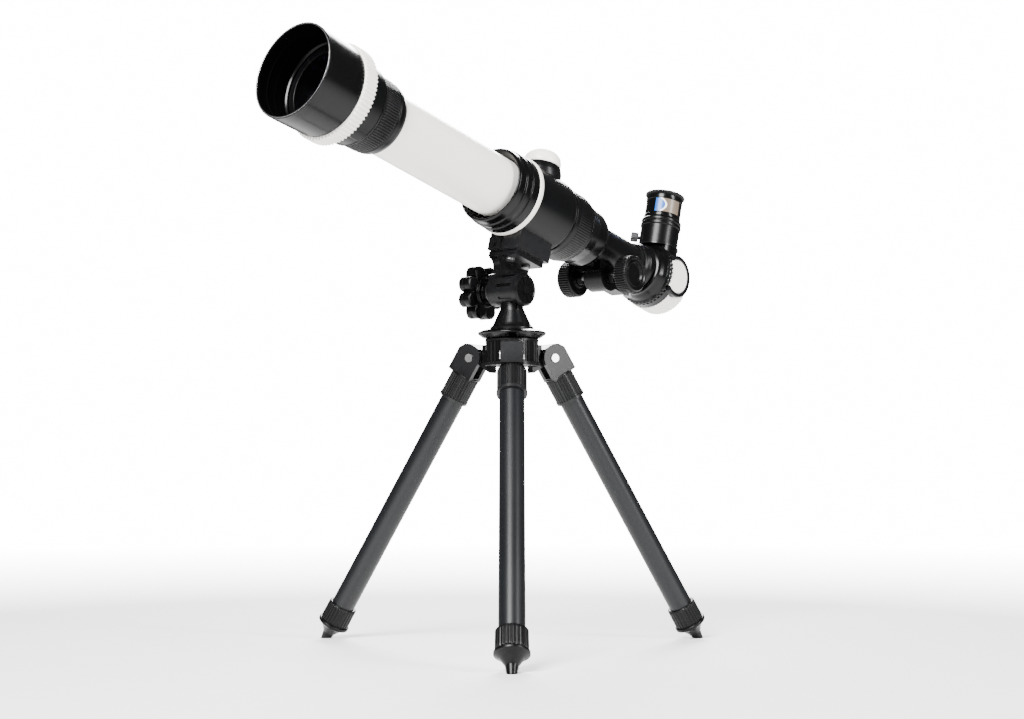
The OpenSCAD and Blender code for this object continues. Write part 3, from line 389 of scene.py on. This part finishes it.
# Two colours mixed: the first where the factor is 0, the second where it is 1
def mixed(tree, factor, a, b):
    mix = tree.nodes.new("ShaderNodeMix")
    mix.data_type = "RGBA"
    joined(tree, factor, mix.inputs["Factor"])
    for socket, value in ((mix.inputs["A"], a), (mix.inputs["B"], b)):
        if isinstance(value, tuple):
            socket.default_value = value
        else:
            joined(tree, value, socket)
    return mix.outputs["Result"]


# One finish: two close colours mottled together, edges lightened for wear and as painted highlight, dust, handling
# marks and grain
def finish(name, colour, second, low, high, grain=900.0, relief=0.00002, wearAndHighlightColour=None, dust=0.06,
           metal=0.0, sheen=0.5, paint=None):
    look = bpy.data.materials.new(name)
    look.use_nodes = True
    tree = look.node_tree
    shader = tree.nodes["Principled BSDF"]
    where = tree.nodes.new("ShaderNodeTexCoord").outputs["Object"]
    grainNode = groupNode(tree, grainGroup, where, Scale=grain)
    base = mixed(tree, grainNode.outputs["Mottle"], (*colour, 1), (*second, 1))
    if paint is not None:
        base = paint(tree, where, base)
    edges = groupNode(tree, edgeWearHighlightGroup, where)
    # Convex edges take the lighter edge colour: partly wear, partly painted highlight
    base = mixed(tree, edges.outputs["Mask"], base, (*(wearAndHighlightColour or second), 1))
    dusty = groupNode(tree, dustGroup, where, Color=base, Amount=dust)
    joined(tree, dusty.outputs["Color"], shader.inputs["Base Color"])
    marks = groupNode(tree, handlingGroup, where, Low=low, High=high)
    joined(tree, marks.outputs["Roughness"], shader.inputs["Roughness"])
    bump = tree.nodes.new("ShaderNodeBump")
    bump.inputs["Distance"].default_value = relief
    bump.inputs["Strength"].default_value = 1.0
    joined(tree, grainNode.outputs["Height"], bump.inputs["Height"])
    joined(tree, bump.outputs["Normal"], shader.inputs["Normal"])
    shader.inputs["Metallic"].default_value = metal
    shader.inputs["Specular IOR Level"].default_value = sheen
    return look


# Clear glass or plastic with a faint tint and a coated sheen
def clearFinish(name, tint, low, high, coatTint):
    look = bpy.data.materials.new(name)
    look.use_nodes = True
    tree = look.node_tree
    shader = tree.nodes["Principled BSDF"]
    where = tree.nodes.new("ShaderNodeTexCoord").outputs["Object"]
    smears = groupNode(tree, grainGroup, where, Scale=300.0)
    base = mixed(tree, smears.outputs["Mottle"], (*tint, 1), (*coatTint, 1))
    joined(tree, base, shader.inputs["Base Color"])
    marks = groupNode(tree, handlingGroup, where, Low=low, High=high)
    joined(tree, marks.outputs["Roughness"], shader.inputs["Roughness"])
    shader.inputs["Transmission Weight"].default_value = 1.0
    shader.inputs["IOR"].default_value = 1.52
    shader.inputs["Coat Weight"].default_value = 0.6
    shader.inputs["Coat Tint"].default_value = (*coatTint, 1)
    return look


# Angle round a place's axis, in degrees: the arc tangent of the two sideways distances
def roundAxis(tree, where, spot):
    shift = tree.nodes.new("ShaderNodeVectorMath")
    shift.operation = "SUBTRACT"
    shift.inputs[1].default_value = tuple(spot["origin"])
    joined(tree, where, shift.inputs[0])
    across = []
    for axis in spot["axes"][1:]:
        dot = tree.nodes.new("ShaderNodeVectorMath")
        dot.operation = "DOT_PRODUCT"
        dot.inputs[1].default_value = tuple(axis)
        joined(tree, shift.outputs[0], dot.inputs[0])
        across.append(dot.outputs["Value"])
    angle = mathNode(tree, "ARCTAN2", across[1], across[0])
    return mathNode(tree, "MULTIPLY", angle, 180 / math.pi)


card = {"ticks": 36, "fineness": 0.8, "ink": (0.05, 0.05, 0.06, 1)}


# Compass card: a tick wherever the cosine of ticks x angle is above the fineness
def paintCard(tree, where, base):
    angle = roundAxis(tree, where, compass)
    wave = mathNode(tree, "COSINE", mathNode(tree, "MULTIPLY", angle, math.pi / 180 * card["ticks"]))
    ticks = mathNode(tree, "GREATER_THAN", wave, card["fineness"])
    return mixed(tree, ticks, base, card["ink"])


# The eighth value of each finish is its edge colour: wear, and on the black plastics also a painted highlight
# along the edges
looks = {
    "glossBlack": finish("gloss black plastic", (0.001, 0.001, 0.0012), (0.0018, 0.0018, 0.002),
                         0.15, 0.27, 1400.0, 0.000004, (0.008, 0.008, 0.009), 0.002, sheen=0.2),
    "satinBlack": finish("satin black plastic", (0.001, 0.001, 0.0012), (0.0019, 0.0019, 0.0022),
                         0.24, 0.36, 1800.0, 0.000012, (0.009, 0.009, 0.01), 0.003, sheen=0.17),
    # The same black plastic with a lighter base colour: painted light for faces that catch the lamps
    "paintedLitBlack": finish("black plastic painted lighter as lit", (0.0026, 0.0027, 0.003), (0.004, 0.0042, 0.0046),
                         0.26, 0.38, 1800.0, 0.00001, (0.012, 0.012, 0.013), 0.004, sheen=0.24),
    "flatBlack": finish("flat black lining", (0.0002, 0.0002, 0.0002), (0.0004, 0.0004, 0.0004),
                        0.6, 0.8, 2600.0, 0.00003, (0.0008, 0.0008, 0.0008), 0.001, sheen=0.03),
    "offWhite": finish("off-white plastic", (0.9, 0.865, 0.81), (0.92, 0.89, 0.84),
                       0.26, 0.4, 1500.0, 0.000005, (0.9, 0.88, 0.85), 0.02),
    "legCoat": finish("coated leg tube", (0.003, 0.0034, 0.0042), (0.0045, 0.005, 0.006),
                      0.3, 0.42, 2400.0, 0.000008, (0.012, 0.012, 0.014), 0.003, sheen=0.3),
    "steel": finish("plated steel", (0.5, 0.5, 0.51), (0.62, 0.62, 0.63), 0.2, 0.4, 1200.0, 0.000006,
                    (0.75, 0.75, 0.76), 0.03, metal=1.0),
    "darkSteel": finish("blackened steel", (0.06, 0.06, 0.065), (0.1, 0.1, 0.105), 0.28, 0.45, 1500.0,
                        0.000008, (0.3, 0.3, 0.31), 0.03, metal=0.9),
    "aluminium": finish("drawn aluminium", (0.66, 0.67, 0.69), (0.74, 0.75, 0.77), 0.2, 0.36, 1600.0,
                        0.000004, (0.85, 0.86, 0.88), 0.02, metal=1.0),
    "brass": finish("turned brass", (0.5, 0.36, 0.12), (0.62, 0.46, 0.18), 0.22, 0.4, 1200.0, 0.000006,
                    (0.8, 0.65, 0.3), 0.02, metal=1.0),
    "mirror": finish("front silvering", (0.88, 0.89, 0.9), (0.91, 0.92, 0.93), 0.02, 0.08, 800.0,
                     0.000001, (0.9, 0.9, 0.9), 0.01, metal=1.0),
    "redLacquer": finish("red lacquer", (0.45, 0.02, 0.015), (0.55, 0.03, 0.02), 0.2, 0.35, 1500.0,
                         0.000004, (0.7, 0.2, 0.15), 0.02),
    "card": finish("compass card", (0.62, 0.62, 0.6), (0.7, 0.7, 0.68), 0.4, 0.6, 2200.0, 0.000006,
                   (0.7, 0.7, 0.7), 0.02, paint=paintCard),
    "print": finish("printed band", (0.012, 0.085, 0.34), (0.016, 0.11, 0.4), 0.18, 0.32, 1500.0,
                    0.000003, (0.1, 0.2, 0.5), 0.004, sheen=0.3),
    "warmGrey": finish("warm grey print", (0.1, 0.075, 0.055), (0.15, 0.12, 0.095), 0.2, 0.34, 1500.0,
                       0.000003, (0.2, 0.16, 0.13), 0.004, sheen=0.3),
    "lensGlass": clearFinish("coated lens glass", (0.9, 0.95, 0.97), 0.01, 0.05, (0.5, 0.45, 0.8)),
    "windowGlass": clearFinish("clear window", (0.85, 0.87, 0.88), 0.04, 0.16, (0.8, 0.84, 0.88)),
}
print("finishes made:", len(looks))


# Lens end

hood = {"wall": 1.6, "taper": 0.8, "mouth": 8.0, "baffles": 3, "baffleRise": 0.5}


# Hood shell with its stepped joint, a thin steel ring at the mouth as a painted highlight on the lip, and the
# stray-light steps inside
def makeHood():
    x0, x1, r = span(scope, "lens_hood")
    inner = r - hood["wall"]
    turned("hood_shell", scope,
           [(x0, inner), (x0, r - 0.25), (x0 + 0.5, r), (x0 + hood["mouth"], r),
            (x1, r - hood["taper"]), (x1, r - 3.9), (x1 - 8, r - 3.9), (x1 - 9, inner - hood["taper"]),
            (x0 + hood["mouth"], inner)],
           "glossBlack", "hood", ["lens_hood"], soft=0.35, around=256)
    # A thin steel ring on the face of the mouth, standing in for the highlight the glossy lip catches: painted
    # highlight
    turned("hood_rim_painted_highlight", scope,
           [(x0 - 0.04, r - 1.25), (x0 - 0.04, r - 0.55), (x0 + 0.3, r - 0.5), (x0 + 0.3, r - 1.3)],
           "steel", "hood", soft=0.08, around=256)
    rise = hood["baffleRise"]
    gap = (x1 - 10 - x0 - 3) / hood["baffles"]
    lining = [(x0 + 1.2, inner - 0.05), (x0 + 1.2, inner - 0.25)]
    for i in range(hood["baffles"]):
        at = x0 + 3 + gap * (i + 0.8)
        lining += [(at, inner - 0.3), (at, inner - 0.3 - rise), (at + 0.5, inner - 0.3 - rise),
                   (at + 0.5, inner - 0.35)]
    lining += [(x1 - 9, inner - 1.1), (x1 - 9, inner - 0.9)]
    turned("hood_lining", scope, lining, "flatBlack", "hood", soft=0.12, around=192)


cell = {"teeth": 72, "toothDepth": 1.5, "toothSharp": 1.6, "ribs": 84, "ribDepth": 0.7,
        "panelRise": 1.1, "panelArc": (85, 250)}


# Toothed ring, the lens cell with its raised panel and fine ribs, and the line where its halves meet
def makeCell():
    x0, x1, r = span(scope, "hood_ring")
    root = r - 1.25
    turned("hood_tooth_ring", scope,
           [(x0 + 0.1, 31), (x0 + 0.1, root - 0.5), (x0 + 0.7, root), (x1 - 0.9, root - 0.1),
            (x1 - 0.1, root - 0.8), (x1 - 0.1, 31)],
           "offWhite", "telescope", ["hood_ring"], around=cell["teeth"] * 10, step=2,
           ribs=[{"from": x0 + 0.35, "to": x1 - 0.5, "count": cell["teeth"],
                  "depth": cell["toothDepth"], "sharp": cell["toothSharp"], "above": root - 1}])
    tube = span(scope, "main_tube")[2]
    front, back = x1, x1 + 41.4
    turned("lens_cell", scope,
           [(front - 19, tube + 2.7), (front - 19, tube + 7.6), (front, tube + 7.6), (front, tube + 6.1),
            (front + 17, tube + 5.6), (front + 18, tube + 4.4), (front + 18.6, tube + 3.9),
            (front + 32.4, tube + 3.5), (front + 33, tube + 3.3), (front + 34, tube + 4),
            (front + 38, tube + 3.4), (back, tube + 1.9), (back, tube + 0.05), (back - 22, tube + 0.05),
            (back - 22, tube - 2), (back - 25, tube - 2), (back - 25, tube + 2.7)],
           "satinBlack", "telescope", ["objective_cell"], soft=0.5, around=cell["ribs"] * 8,
           step=3,
           ribs=[{"from": front + 1.5, "to": front + 14.5, "count": 1, "depth": cell["panelRise"],
                  "arc": cell["panelArc"], "above": tube + 4.5},
                 {"from": front + 18.9, "to": front + 32.2, "count": cell["ribs"],
                  "depth": cell["ribDepth"], "duty": 0.2, "above": tube + 3.2}])
    # The parting line is drawn in the black painted lighter as lit: a painted highlight on the ring
    turned("cell_parting_line", scope,
           [(front + 15.6, tube + 5.5), (front + 15.6, tube + 6.0), (front + 16.1, tube + 6.0),
            (front + 16.1, tube + 5.5)],
           "paintedLitBlack", "telescope", soft=0.1, around=192)


trim = {"lip": 0.5, "soft": 0.4}


# Main tube, the stepped collar it runs into, and the light trim ring
def makeTube():
    x0, x1, r = span(scope, "main_tube")
    turned("main_tube_skin", scope, [(x0, r - 1.2), (x0, r), (x1, r), (x1, r - 1.2)],
           "offWhite", "telescope", ["main_tube"], soft=0.2, around=256, step=6)
    y0 = span(scope, "front_collar")[0]
    turned("stepped_collar", scope,
           [(y0 + 7.5, r + 0.02), (y0 + 7.5, r + 0.9), (y0 + 1.6, r + 3.5), (y0, r + 4.4),
            (y0, r + 5.4), (y0 + 1.4, r + 6.35), (y0 + 7, r + 6.6), (y0 + 8, r + 7.4), (y0 + 9.6, r + 7.7),
            (y0 + 12.5, r + 7.7), (y0 + 13.1, r + 7), (y0 + 14.4, r + 7), (y0 + 15, r + 7.9),
            (-4.55, r + 7.9), (-4.55, r + 2.6), (7, r + 2.6), (7, r + 0.02)],
           "glossBlack", "telescope", ["front_collar"], soft=0.4, around=288)
    turned("white_trim", scope,
           [(-4.5, r + 4), (-4.5, r + 7.9), (-4, r + 7.9 + trim["lip"]),
            (-0.6, r + 7.9 + trim["lip"]), (-0.05, r + 7.9), (-0.05, r + 4)],
           "offWhite", "telescope", ["trim_ring"], soft=trim["soft"], around=288)


housing = {"ribs": 88, "ribDepth": 0.25}


# Rear housing with its ribbed ring, and the tapered tail behind it
def makeHousing():
    tube = span(scope, "main_tube")[2]
    r = span(scope, "rear_housing")[2]
    x1 = span(scope, "tail_cone")[0]
    ring = tube + 4.6
    turned("housing_shell", scope,
           [(0, tube + 2.7), (0, r - 0.7), (0.6, r - 0.05), (x1 - 27, r - 0.05), (x1 - 26, r - 0.6),
            (x1 - 25, r - 3.3), (x1 - 22.6, r - 3.3), (x1 - 21.6, ring), (x1 - 0.8, ring),
            (x1 - 0.05, ring - 0.7), (x1 - 0.05, tube + 1.3), (8, tube + 1.3), (8, tube + 2.7)],
           "satinBlack", "telescope", ["rear_housing"], soft=0.4,
           around=housing["ribs"] * 8, step=3,
           ribs=[{"from": x1 - 17, "to": x1 - 3, "count": housing["ribs"],
                  "depth": housing["ribDepth"], "duty": 0.2, "above": ring - 1}])
    y0, y1 = span(scope, "tail_cone")[:2]
    turned("tail_shell", scope,
           [(y0, tube + 1.3), (y0, tube + 3.9), (y0 + 1.7, tube + 3.9), (y0 + 2.3, tube + 3.4),
            (y0 + 12.5, tube + 1), (y0 + 23, tube + 0.3), (y0 + 24.4, tube - 0.3), (y1, tube - 1.5),
            (y1, 16.25), (y1 - 3, 16.25), (y1 - 3, tube - 1.8), (y0 + 12.5, tube - 1.8)],
           "glossBlack", "telescope", ["tail_cone"], soft=0.6, around=224)


dome = {"soft": 1.0}


# Domed bezel of the compass, open at the window
def makeCompass():
    x0, x1, r = span(compass, "compass_bezel")
    pane = span(compass, "compass_window")[2]
    turned("compass_dome", compass,
           [(x0, r - 2.8), (x0, r - 0.3), (x0 + 3, r), (x0 + 7, r - 0.9), (x0 + 9.8, r - 3.1),
            (x0 + 11.8, pane + 1.4), (x0 + 11.8, pane + 0.02), (x0 + 9.8, pane + 0.02), (x0 + 8.2, r - 4.7),
            (x0 + 5, r - 2.8)],
           "offWhite", "telescope", ["compass_bezel"], soft=dome["soft"], around=160)


# Focuser and diagonal

focusKnob = {"ribs": 46, "ribDepth": 0.75}


# Focusing knob: neck, ribbed rim and a dished face with a raised ring
def makeFocusKnob(which, side):
    spot = {"origin": focusPin["origin"], "axes": focusPin["axes"] * np.array([[side], [1], [side]])}
    x0, x1, r = span(spot, "focus_knob_" + which)
    turned("focus_knob_%s_grip" % which, spot,
           [(x0, 0), (x0, 5), (x0 + 2.4, 5.2), (x0 + 2.6, 7.5), (x0 + 4, 7.6), (x0 + 4, r - 1.6),
            (x0 + 4.7, r - 0.75), (x1 - 1, r - 0.75), (x1, r - 1.6), (x1, r - 2.6),
            (x1 - 1.4, r - 3.1), (x1 - 1.6, r - 4.5), (x1 - 0.8, r - 4.9), (x1 - 0.8, r - 5.7),
            (x1 - 2.6, r - 6.4), (x1 - 2.4, 3), (x1 - 2.0, 0)],
           "satinBlack", "focus_drive", ["focus_knob_" + which], soft=0.3,
           around=focusKnob["ribs"] * 8, step=1.5,
           ribs=[{"from": x0 + 5, "to": x1 - 1.1, "count": focusKnob["ribs"],
                  "depth": focusKnob["ribDepth"], "above": r - 1.2}])


# Collar at the end of the draw tube, swelling to a band
def makeDrawCollar():
    x0, x1, r = span(scope, "draw_collar")
    bore = span(scope, "draw_tube")[2]
    turned("draw_collar_ring", scope,
           [(x0, bore), (x0, r - 2.4), (x0 + 2.2, r - 1.6), (x0 + 4.4, r - 0.1), (x0 + 5, r),
            (x0 + 8.6, r), (x0 + 9.2, r - 0.3), (x1, r - 1.4), (x1, bore)],
           "satinBlack", "draw", ["draw_collar"], soft=0.4, around=160)


shoulder = {"plug": 12.55, "ribs": 44, "ribDepth": 0.75}


# Front of the diagonal: plug, flared shoulder and ribbed rim
def makeDiagonalCollar():
    x0, x1, r = span(scope, "diagonal_collar")
    plug = shoulder["plug"]
    front = x1 - 15.4
    turned("diagonal_shoulder", scope,
           [(x0, plug - 2), (x0, plug), (front, plug), (front, plug + 6.3), (front + 1, plug + 9),
            (front + 3.4, r - 4.9), (front + 7, r - 3.4), (front + 11, r - 2.3), (front + 12, r - 0.75),
            (x1, r - 0.75), (x1, r - 4.3), (front + 12, r - 4.3), (front + 8, r - 6),
            (front + 4, plug - 2)],
           "glossBlack", "diagonal", ["diagonal_collar"], soft=0.5,
           around=shoulder["ribs"] * 10, step=2,
           ribs=[{"from": front + 12.2, "to": x1 - 0.1, "count": shoulder["ribs"],
                  "depth": shoulder["ribDepth"], "duty": 0.2, "above": r - 1.5}])


eyepiece = {"socketRadius": 16.3, "cupRibs": 48, "cupRibDepth": 0.45}


# Socket with a double-grooved mouth, the eyepiece body, and its ribbed cup
def makeEyepiece():
    h0, h1 = span(eye, "eyepiece_holder")[:2]
    r = eyepiece["socketRadius"]
    bore = span(eye, "eyepiece_barrel")[2] + 0.05
    turned("eyepiece_socket", eye,
           [(h0, bore), (h0, r), (h1 - 7.5, r), (h1 - 6.9, r + 0.6), (h1 - 5, r + 0.7),
            (h1 - 4.5, r - 0.3), (h1 - 3.6, r - 0.3), (h1 - 3.1, r + 0.4), (h1 - 1.2, r + 0.5),
            (h1 - 0.1, r - 0.6), (h1 - 0.1, bore)],
           "satinBlack", "diagonal", ["eyepiece_holder"], soft=0.3, around=192)
    b0, b1, br = span(eye, "eyepiece_body")
    hollow = bore - 0.95
    turned("eyepiece_shell", eye,
           [(b0, hollow), (b0, br - 0.5), (b0 + 0.5, br), (b0 + 3, br), (b0 + 3.2, br - 0.4),
            (b1 - 3.6, br - 0.4), (b1 - 3.4, br), (b1 - 0.1, br), (b1, br - 0.4), (b1, hollow - 3),
            (b1 - 3, hollow - 3)],
           "glossBlack", "eyepiece", ["eyepiece_body"], soft=0.25, around=192)
    c0, c1, cr = span(eye, "eyecup")
    root = cr - eyepiece["cupRibDepth"]
    turned("eyecup_rim", eye,
           [(c0, bore - 4), (c0, br), (c0 + 0.9, br + 0.2), (c0 + 1.4, root), (c1 - 0.4, root),
            (c1, root - 0.9), (c1, br - 2.4), (c1 - 2.2, bore - 4)],
           "satinBlack", "eyepiece", ["eyecup"], soft=0.3,
           around=eyepiece["cupRibs"] * 8, step=1,
           ribs=[{"from": c0 + 1.5, "to": c1 - 0.3, "count": eyepiece["cupRibs"],
                  "depth": eyepiece["cupRibDepth"], "above": root - 0.5}])


# Degrees round the eyepiece from the optical axis; bow bends the edges, degrees per square millimetre
label = {"blue": (-171, -139), "arc": (-139, -133), "field": (-133, -88), "bow": 0.5, "lift": 0.05,
         "rows": 24, "columns": 40}


# Label patches: radius = band radius + lift, angle = limits - bow x (station - middle) squared
def makeLabel():
    x0, x1, r = span(eye, "eyepiece_band")
    rows, columns = label["rows"], label["columns"]
    station = np.linspace(x0 + 0.4, x1 - 0.4, rows)
    bend = label["bow"] * (station - (x0 + x1) / 2) ** 2
    for part, look, bowedNear, bowedFar in (("blue", "print", 0, 1), ("arc", "offWhite", 1, 1),
                                    ("field", "warmGrey", 1, 0)):
        low, high = label[part]
        share = np.linspace(0, 1, columns)
        near = low - bend * bowedNear
        far = high - bend * bowedFar
        angle = np.radians(near[:, None] + (far - near)[:, None] * share[None, :])
        reach = r + label["lift"]
        local = np.stack([np.broadcast_to(station[:, None], angle.shape), reach * np.cos(angle),
                          reach * np.sin(angle)], axis=-1).reshape(-1, 3)
        first = np.arange(rows - 1)[:, None] * columns + np.arange(columns - 1)[None, :]
        quads = np.stack([first, first + columns, first + columns + 1, first + 1], -1).reshape(-1, 4)
        mesh = newMesh("label_" + part, outOf(eye, local), quads[:, ::-1])
        show("label_" + part, mesh, look, "eyepiece")


# Tilt head

# Disc of the turntable, thickest at its rim
def makePanDisc():
    x0, x1, r = span(column, "pan_disc")
    turned("turntable_disc", column,
           [(x0, 4), (x0, 19), (x0 + 0.9, r - 4), (x0 + 3.5, r - 0.3), (x0 + 4.4, r), (x0 + 5.2, r - 0.2),
            (x1 - 0.9, r - 4), (x1, r - 9.2), (x1, 4)],
           "glossBlack", "head", ["pan_disc"], soft=0.8, around=224)


knob = {"lobes": 8, "lobeShare": 0.134, "grooveAt": 5, "grooveWidth": 1.4, "grooveDepth": 0.9}


# Lobed outline: the core circle, or the far side of the nearest lobe circle where that is further
def lobeRadius(angle, core, ring, lobe, count):
    off = (angle * count / (2 * math.pi)) % 1 - 0.5
    off = off * 2 * math.pi / count
    under = lobe ** 2 - (ring * np.sin(off)) ** 2
    reach = np.where(under > 0, ring * np.cos(off) + np.sqrt(np.maximum(under, 0)), 0)
    return np.maximum(core, reach)


# Clamp knob: boss and core turned, lobes where the outline is at the rim, a groove round their tips
def makeClampKnob():
    x0, x1, r = span(tiltPin, "clamp_knob")
    lobe = 2 * r * knob["lobeShare"]
    front = x0 + 7

    def lobes(s, angle, radius):
        lobed = lobeRadius(angle, r - lobe - 0.5, r - lobe, lobe, knob["lobes"])
        share = np.clip(radius / (r - lobe), 0, 1)
        outer = ramp(s, front - 0.1, 0.2)
        start = front + knob["grooveAt"]
        inGroove = ramp(s, start, 0.5) * (1 - ramp(s, start + knob["grooveWidth"], 0.5))
        groove = knob["grooveDepth"] * inGroove
        scaled = radius * (lobed - groove * (lobed > r - 2)) / (r - lobe - 0.5)
        return np.where((outer > 0.5) & (radius > r - lobe - 2.6), scaled, radius)

    core = r - lobe - 0.5
    turned("clamp_knob_grip", tiltPin,
           [(x0, 3.05), (x0, 8), (front - 2, 8), (front - 2, 11), (front, 11.4), (front + 0.2, core - 1.2),
            (front + 0.9, core), (x1 - 0.9, core), (x1, core - 1.2), (x1, core - 3.1),
            (x1 - 1.4, core - 3.4), (x1 - 1.4, 3.05)],
           "satinBlack", "clamp_knob", ["clamp_knob"], soft=0.4, around=8 * 48, step=1.2, shape=lobes)


# Legs

leg = {"ribs": 26, "ribDepth": 0.7}


# Leg tube and its shoe: ribbed sleeve, flange and blunt cone
def makeLeg(which):
    spot = legPlace(which)
    body = "leg_" + which
    x0, x1, r = span(spot, "leg_tube_" + which)
    turned("leg_%s_pipe" % which, spot, [(x0, r - 1), (x0, r), (x1, r), (x1, r - 1)],
           "legCoat", body, ["leg_tube_" + which], soft=0.2, around=96, step=12)
    f0, f1, fr = span(spot, "leg_foot_" + which)
    flange = x1
    turned("leg_%s_shoe" % which, spot,
           [(f0, r), (f0, r + 1.5), (flange, r + 1.7), (flange, fr - 0.5), (flange + 0.5, fr),
            (flange + 2.4, fr), (flange + 3, r + 2.2), (flange + 5, 8.6), (flange + 7.6, 6.6),
            (flange + 10.4, 4.7), (f1, 3.4), (f1, 0.5), (flange - 1, 0.5),
            (flange - 1, r)],
           "satinBlack", body, ["leg_foot_" + which], soft=0.5,
           around=leg["ribs"] * 8, step=2,
           ribs=[{"from": f0 + 0.6, "to": flange - 0.4, "count": leg["ribs"],
                  "depth": leg["ribDepth"], "duty": 0.2, "above": r + 1}])


makeHood()
makeCell()
makeTube()
makeHousing()
makeCompass()
print("tube assembly built")
makeFocusKnob("near", -1)
makeFocusKnob("far", 1)
makeDrawCollar()
makeDiagonalCollar()
makeEyepiece()
makeLabel()
print("focuser and eyepiece built")
makePanDisc()
makeClampKnob()
print("tilt head built")
for which in ("left", "front", "right"):
    makeLeg(which)
print("legs built")

# The saddle block and the leg heads take the black painted lighter as lit: painted light on their faces
keptLooks = {
    "lens_retainer": "flatBlack", "objective_lens": "lensGlass", "tube_baffle": "flatBlack",
    "compass_base": "satinBlack", "compass_dial": "card", "compass_needle": "redLacquer",
    "compass_window": "windowGlass", "saddle_block": "paintedLitBlack", "tilt_arm": "satinBlack",
    "saddle_screws": "darkSteel", "focuser_body": "satinBlack", "draw_tube": "aluminium",
    "focus_rack": "satinBlack", "draw_lock_screw": "darkSteel", "focus_shaft": "steel",
    "focus_pinion": "brass", "diagonal_body": "glossBlack", "diagonal_mirror": "mirror",
    "diagonal_rear_ring": "offWhite", "diagonal_back_plate": "satinBlack", "side_bezel": "glossBlack",
    "side_cover": "offWhite", "eyepiece_lock_screw": "darkSteel", "eyepiece_barrel": "aluminium",
    "eyepiece_band": "glossBlack", "eyepiece_lenses": "lensGlass", "pan_head": "satinBlack",
    "head_end_cap": "satinBlack", "tilt_bolt": "steel", "tilt_washer": "darkSteel",
    "hub": "satinBlack", "pan_bolt": "steel", "hinge_pins": "steel",
    "leg_head_left": "paintedLitBlack", "leg_head_front": "paintedLitBlack", "leg_head_right": "paintedLitBlack",
}
for node, look in keptLooks.items():
    kept(node, look)
print("kept pieces finished:", len(keptLooks))


# Floor, light and camera

studio = {"floorColour": (0.9, 0.9, 0.895), "air": 0.16, "backdrop": 16.0, "reach": 3.0,
          "fadeFrom": 0.55, "fadeTo": 1.9}


# Floor: pale and solid round the feet, fading into the backdrop further out
def makeFloor():
    size = studio["reach"]
    mesh = bpy.data.meshes.new("floor")
    mesh.from_pydata([(-size, -size, 0), (size, -size, 0), (size, size, 0), (-size, size, 0)], [],
                     [(0, 1, 2, 3)])
    floor = bpy.data.objects.new("floor", mesh)
    bpy.context.scene.collection.objects.link(floor)
    look = finish("pale floor", studio["floorColour"], (0.92, 0.92, 0.915), 0.6, 0.75, 500.0, 0.00001,
                  (0.9, 0.9, 0.895), 0.0)
    tree = look.node_tree
    where = tree.nodes.new("ShaderNodeTexCoord").outputs["Object"]
    far = tree.nodes.new("ShaderNodeVectorMath")
    far.operation = "LENGTH"
    joined(tree, where, far.inputs[0])
    gone = mathNode(tree, "SUBTRACT", far.outputs["Value"], studio["fadeFrom"])
    gone = mathNode(tree, "MULTIPLY", gone, 1 / (studio["fadeTo"] - studio["fadeFrom"]), clamp=True)
    joined(tree, mathNode(tree, "SUBTRACT", 1.0, gone), tree.nodes["Principled BSDF"].inputs["Alpha"])
    mesh.materials.append(look)


# Area lamp aimed at a target; size in metres, power in watts
def makeLamp(name, spot, target, size, power, tint=(1, 1, 1)):
    data = bpy.data.lights.new(name, "AREA")
    data.shape = "RECTANGLE"
    data.size, data.size_y = size
    data.energy = power
    data.color = tint
    lamp = bpy.data.objects.new(name, data)
    bpy.context.scene.collection.objects.link(lamp)
    lamp.location = spot
    lamp.rotation_euler = (Vector(target) - Vector(spot)).to_track_quat("-Z", "Y").to_euler()


# World: pale behind the object, dimmer as a source of light and in reflections
def makeAir():
    world = bpy.data.worlds.new("studio air")
    bpy.context.scene.world = world
    world.use_nodes = True
    tree = world.node_tree
    back = tree.nodes["Background"]
    back.inputs["Color"].default_value = (1, 1, 1, 1)
    path = tree.nodes.new("ShaderNodeLightPath")
    brighter = studio["backdrop"] - studio["air"]
    seen = mathNode(tree, "MULTIPLY", path.outputs["Is Camera Ray"], brighter)
    joined(tree, mathNode(tree, "ADD", seen, studio["air"]), back.inputs["Strength"])


view = {"heading": -50.0, "rise": 3.47, "aside": (-1.0601, -0.8896), "height": 0.1342, "lens": 64.04}


# Camera: aside from the upright axis of the tripod, looking along the heading and slightly up
def makeCamera():
    data = bpy.data.cameras.new("camera")
    data.lens = view["lens"]
    data.sensor_width = 36
    camera = bpy.data.objects.new("camera", data)
    bpy.context.scene.collection.objects.link(camera)
    bpy.context.scene.camera = camera
    heading, rise = math.radians(view["heading"]), math.radians(view["rise"])
    level = math.cos(rise)
    look = Vector((-math.sin(heading) * level, math.cos(heading) * level, math.sin(rise)))
    axis = column["origin"]
    camera.location = (axis[0] + view["aside"][0], axis[1] + view["aside"][1], view["height"])
    camera.rotation_euler = look.to_track_quat("-Z", "Y").to_euler()
    data.clip_start, data.clip_end = 0.05, 50


makeFloor()
makeAir()
makeLamp("key", (-1.7, -0.5, 1.5), (0, 0, 0.25), (0.9, 1.2), 190)
makeLamp("fill", (0.3, -1.9, 0.9), (0, 0, 0.25), (0.3, 1.4), 60)
makeLamp("rim", (1.2, 0.9, 1.2), (0, 0, 0.3), (0.8, 0.8), 80)
makeCamera()
print("studio ready")
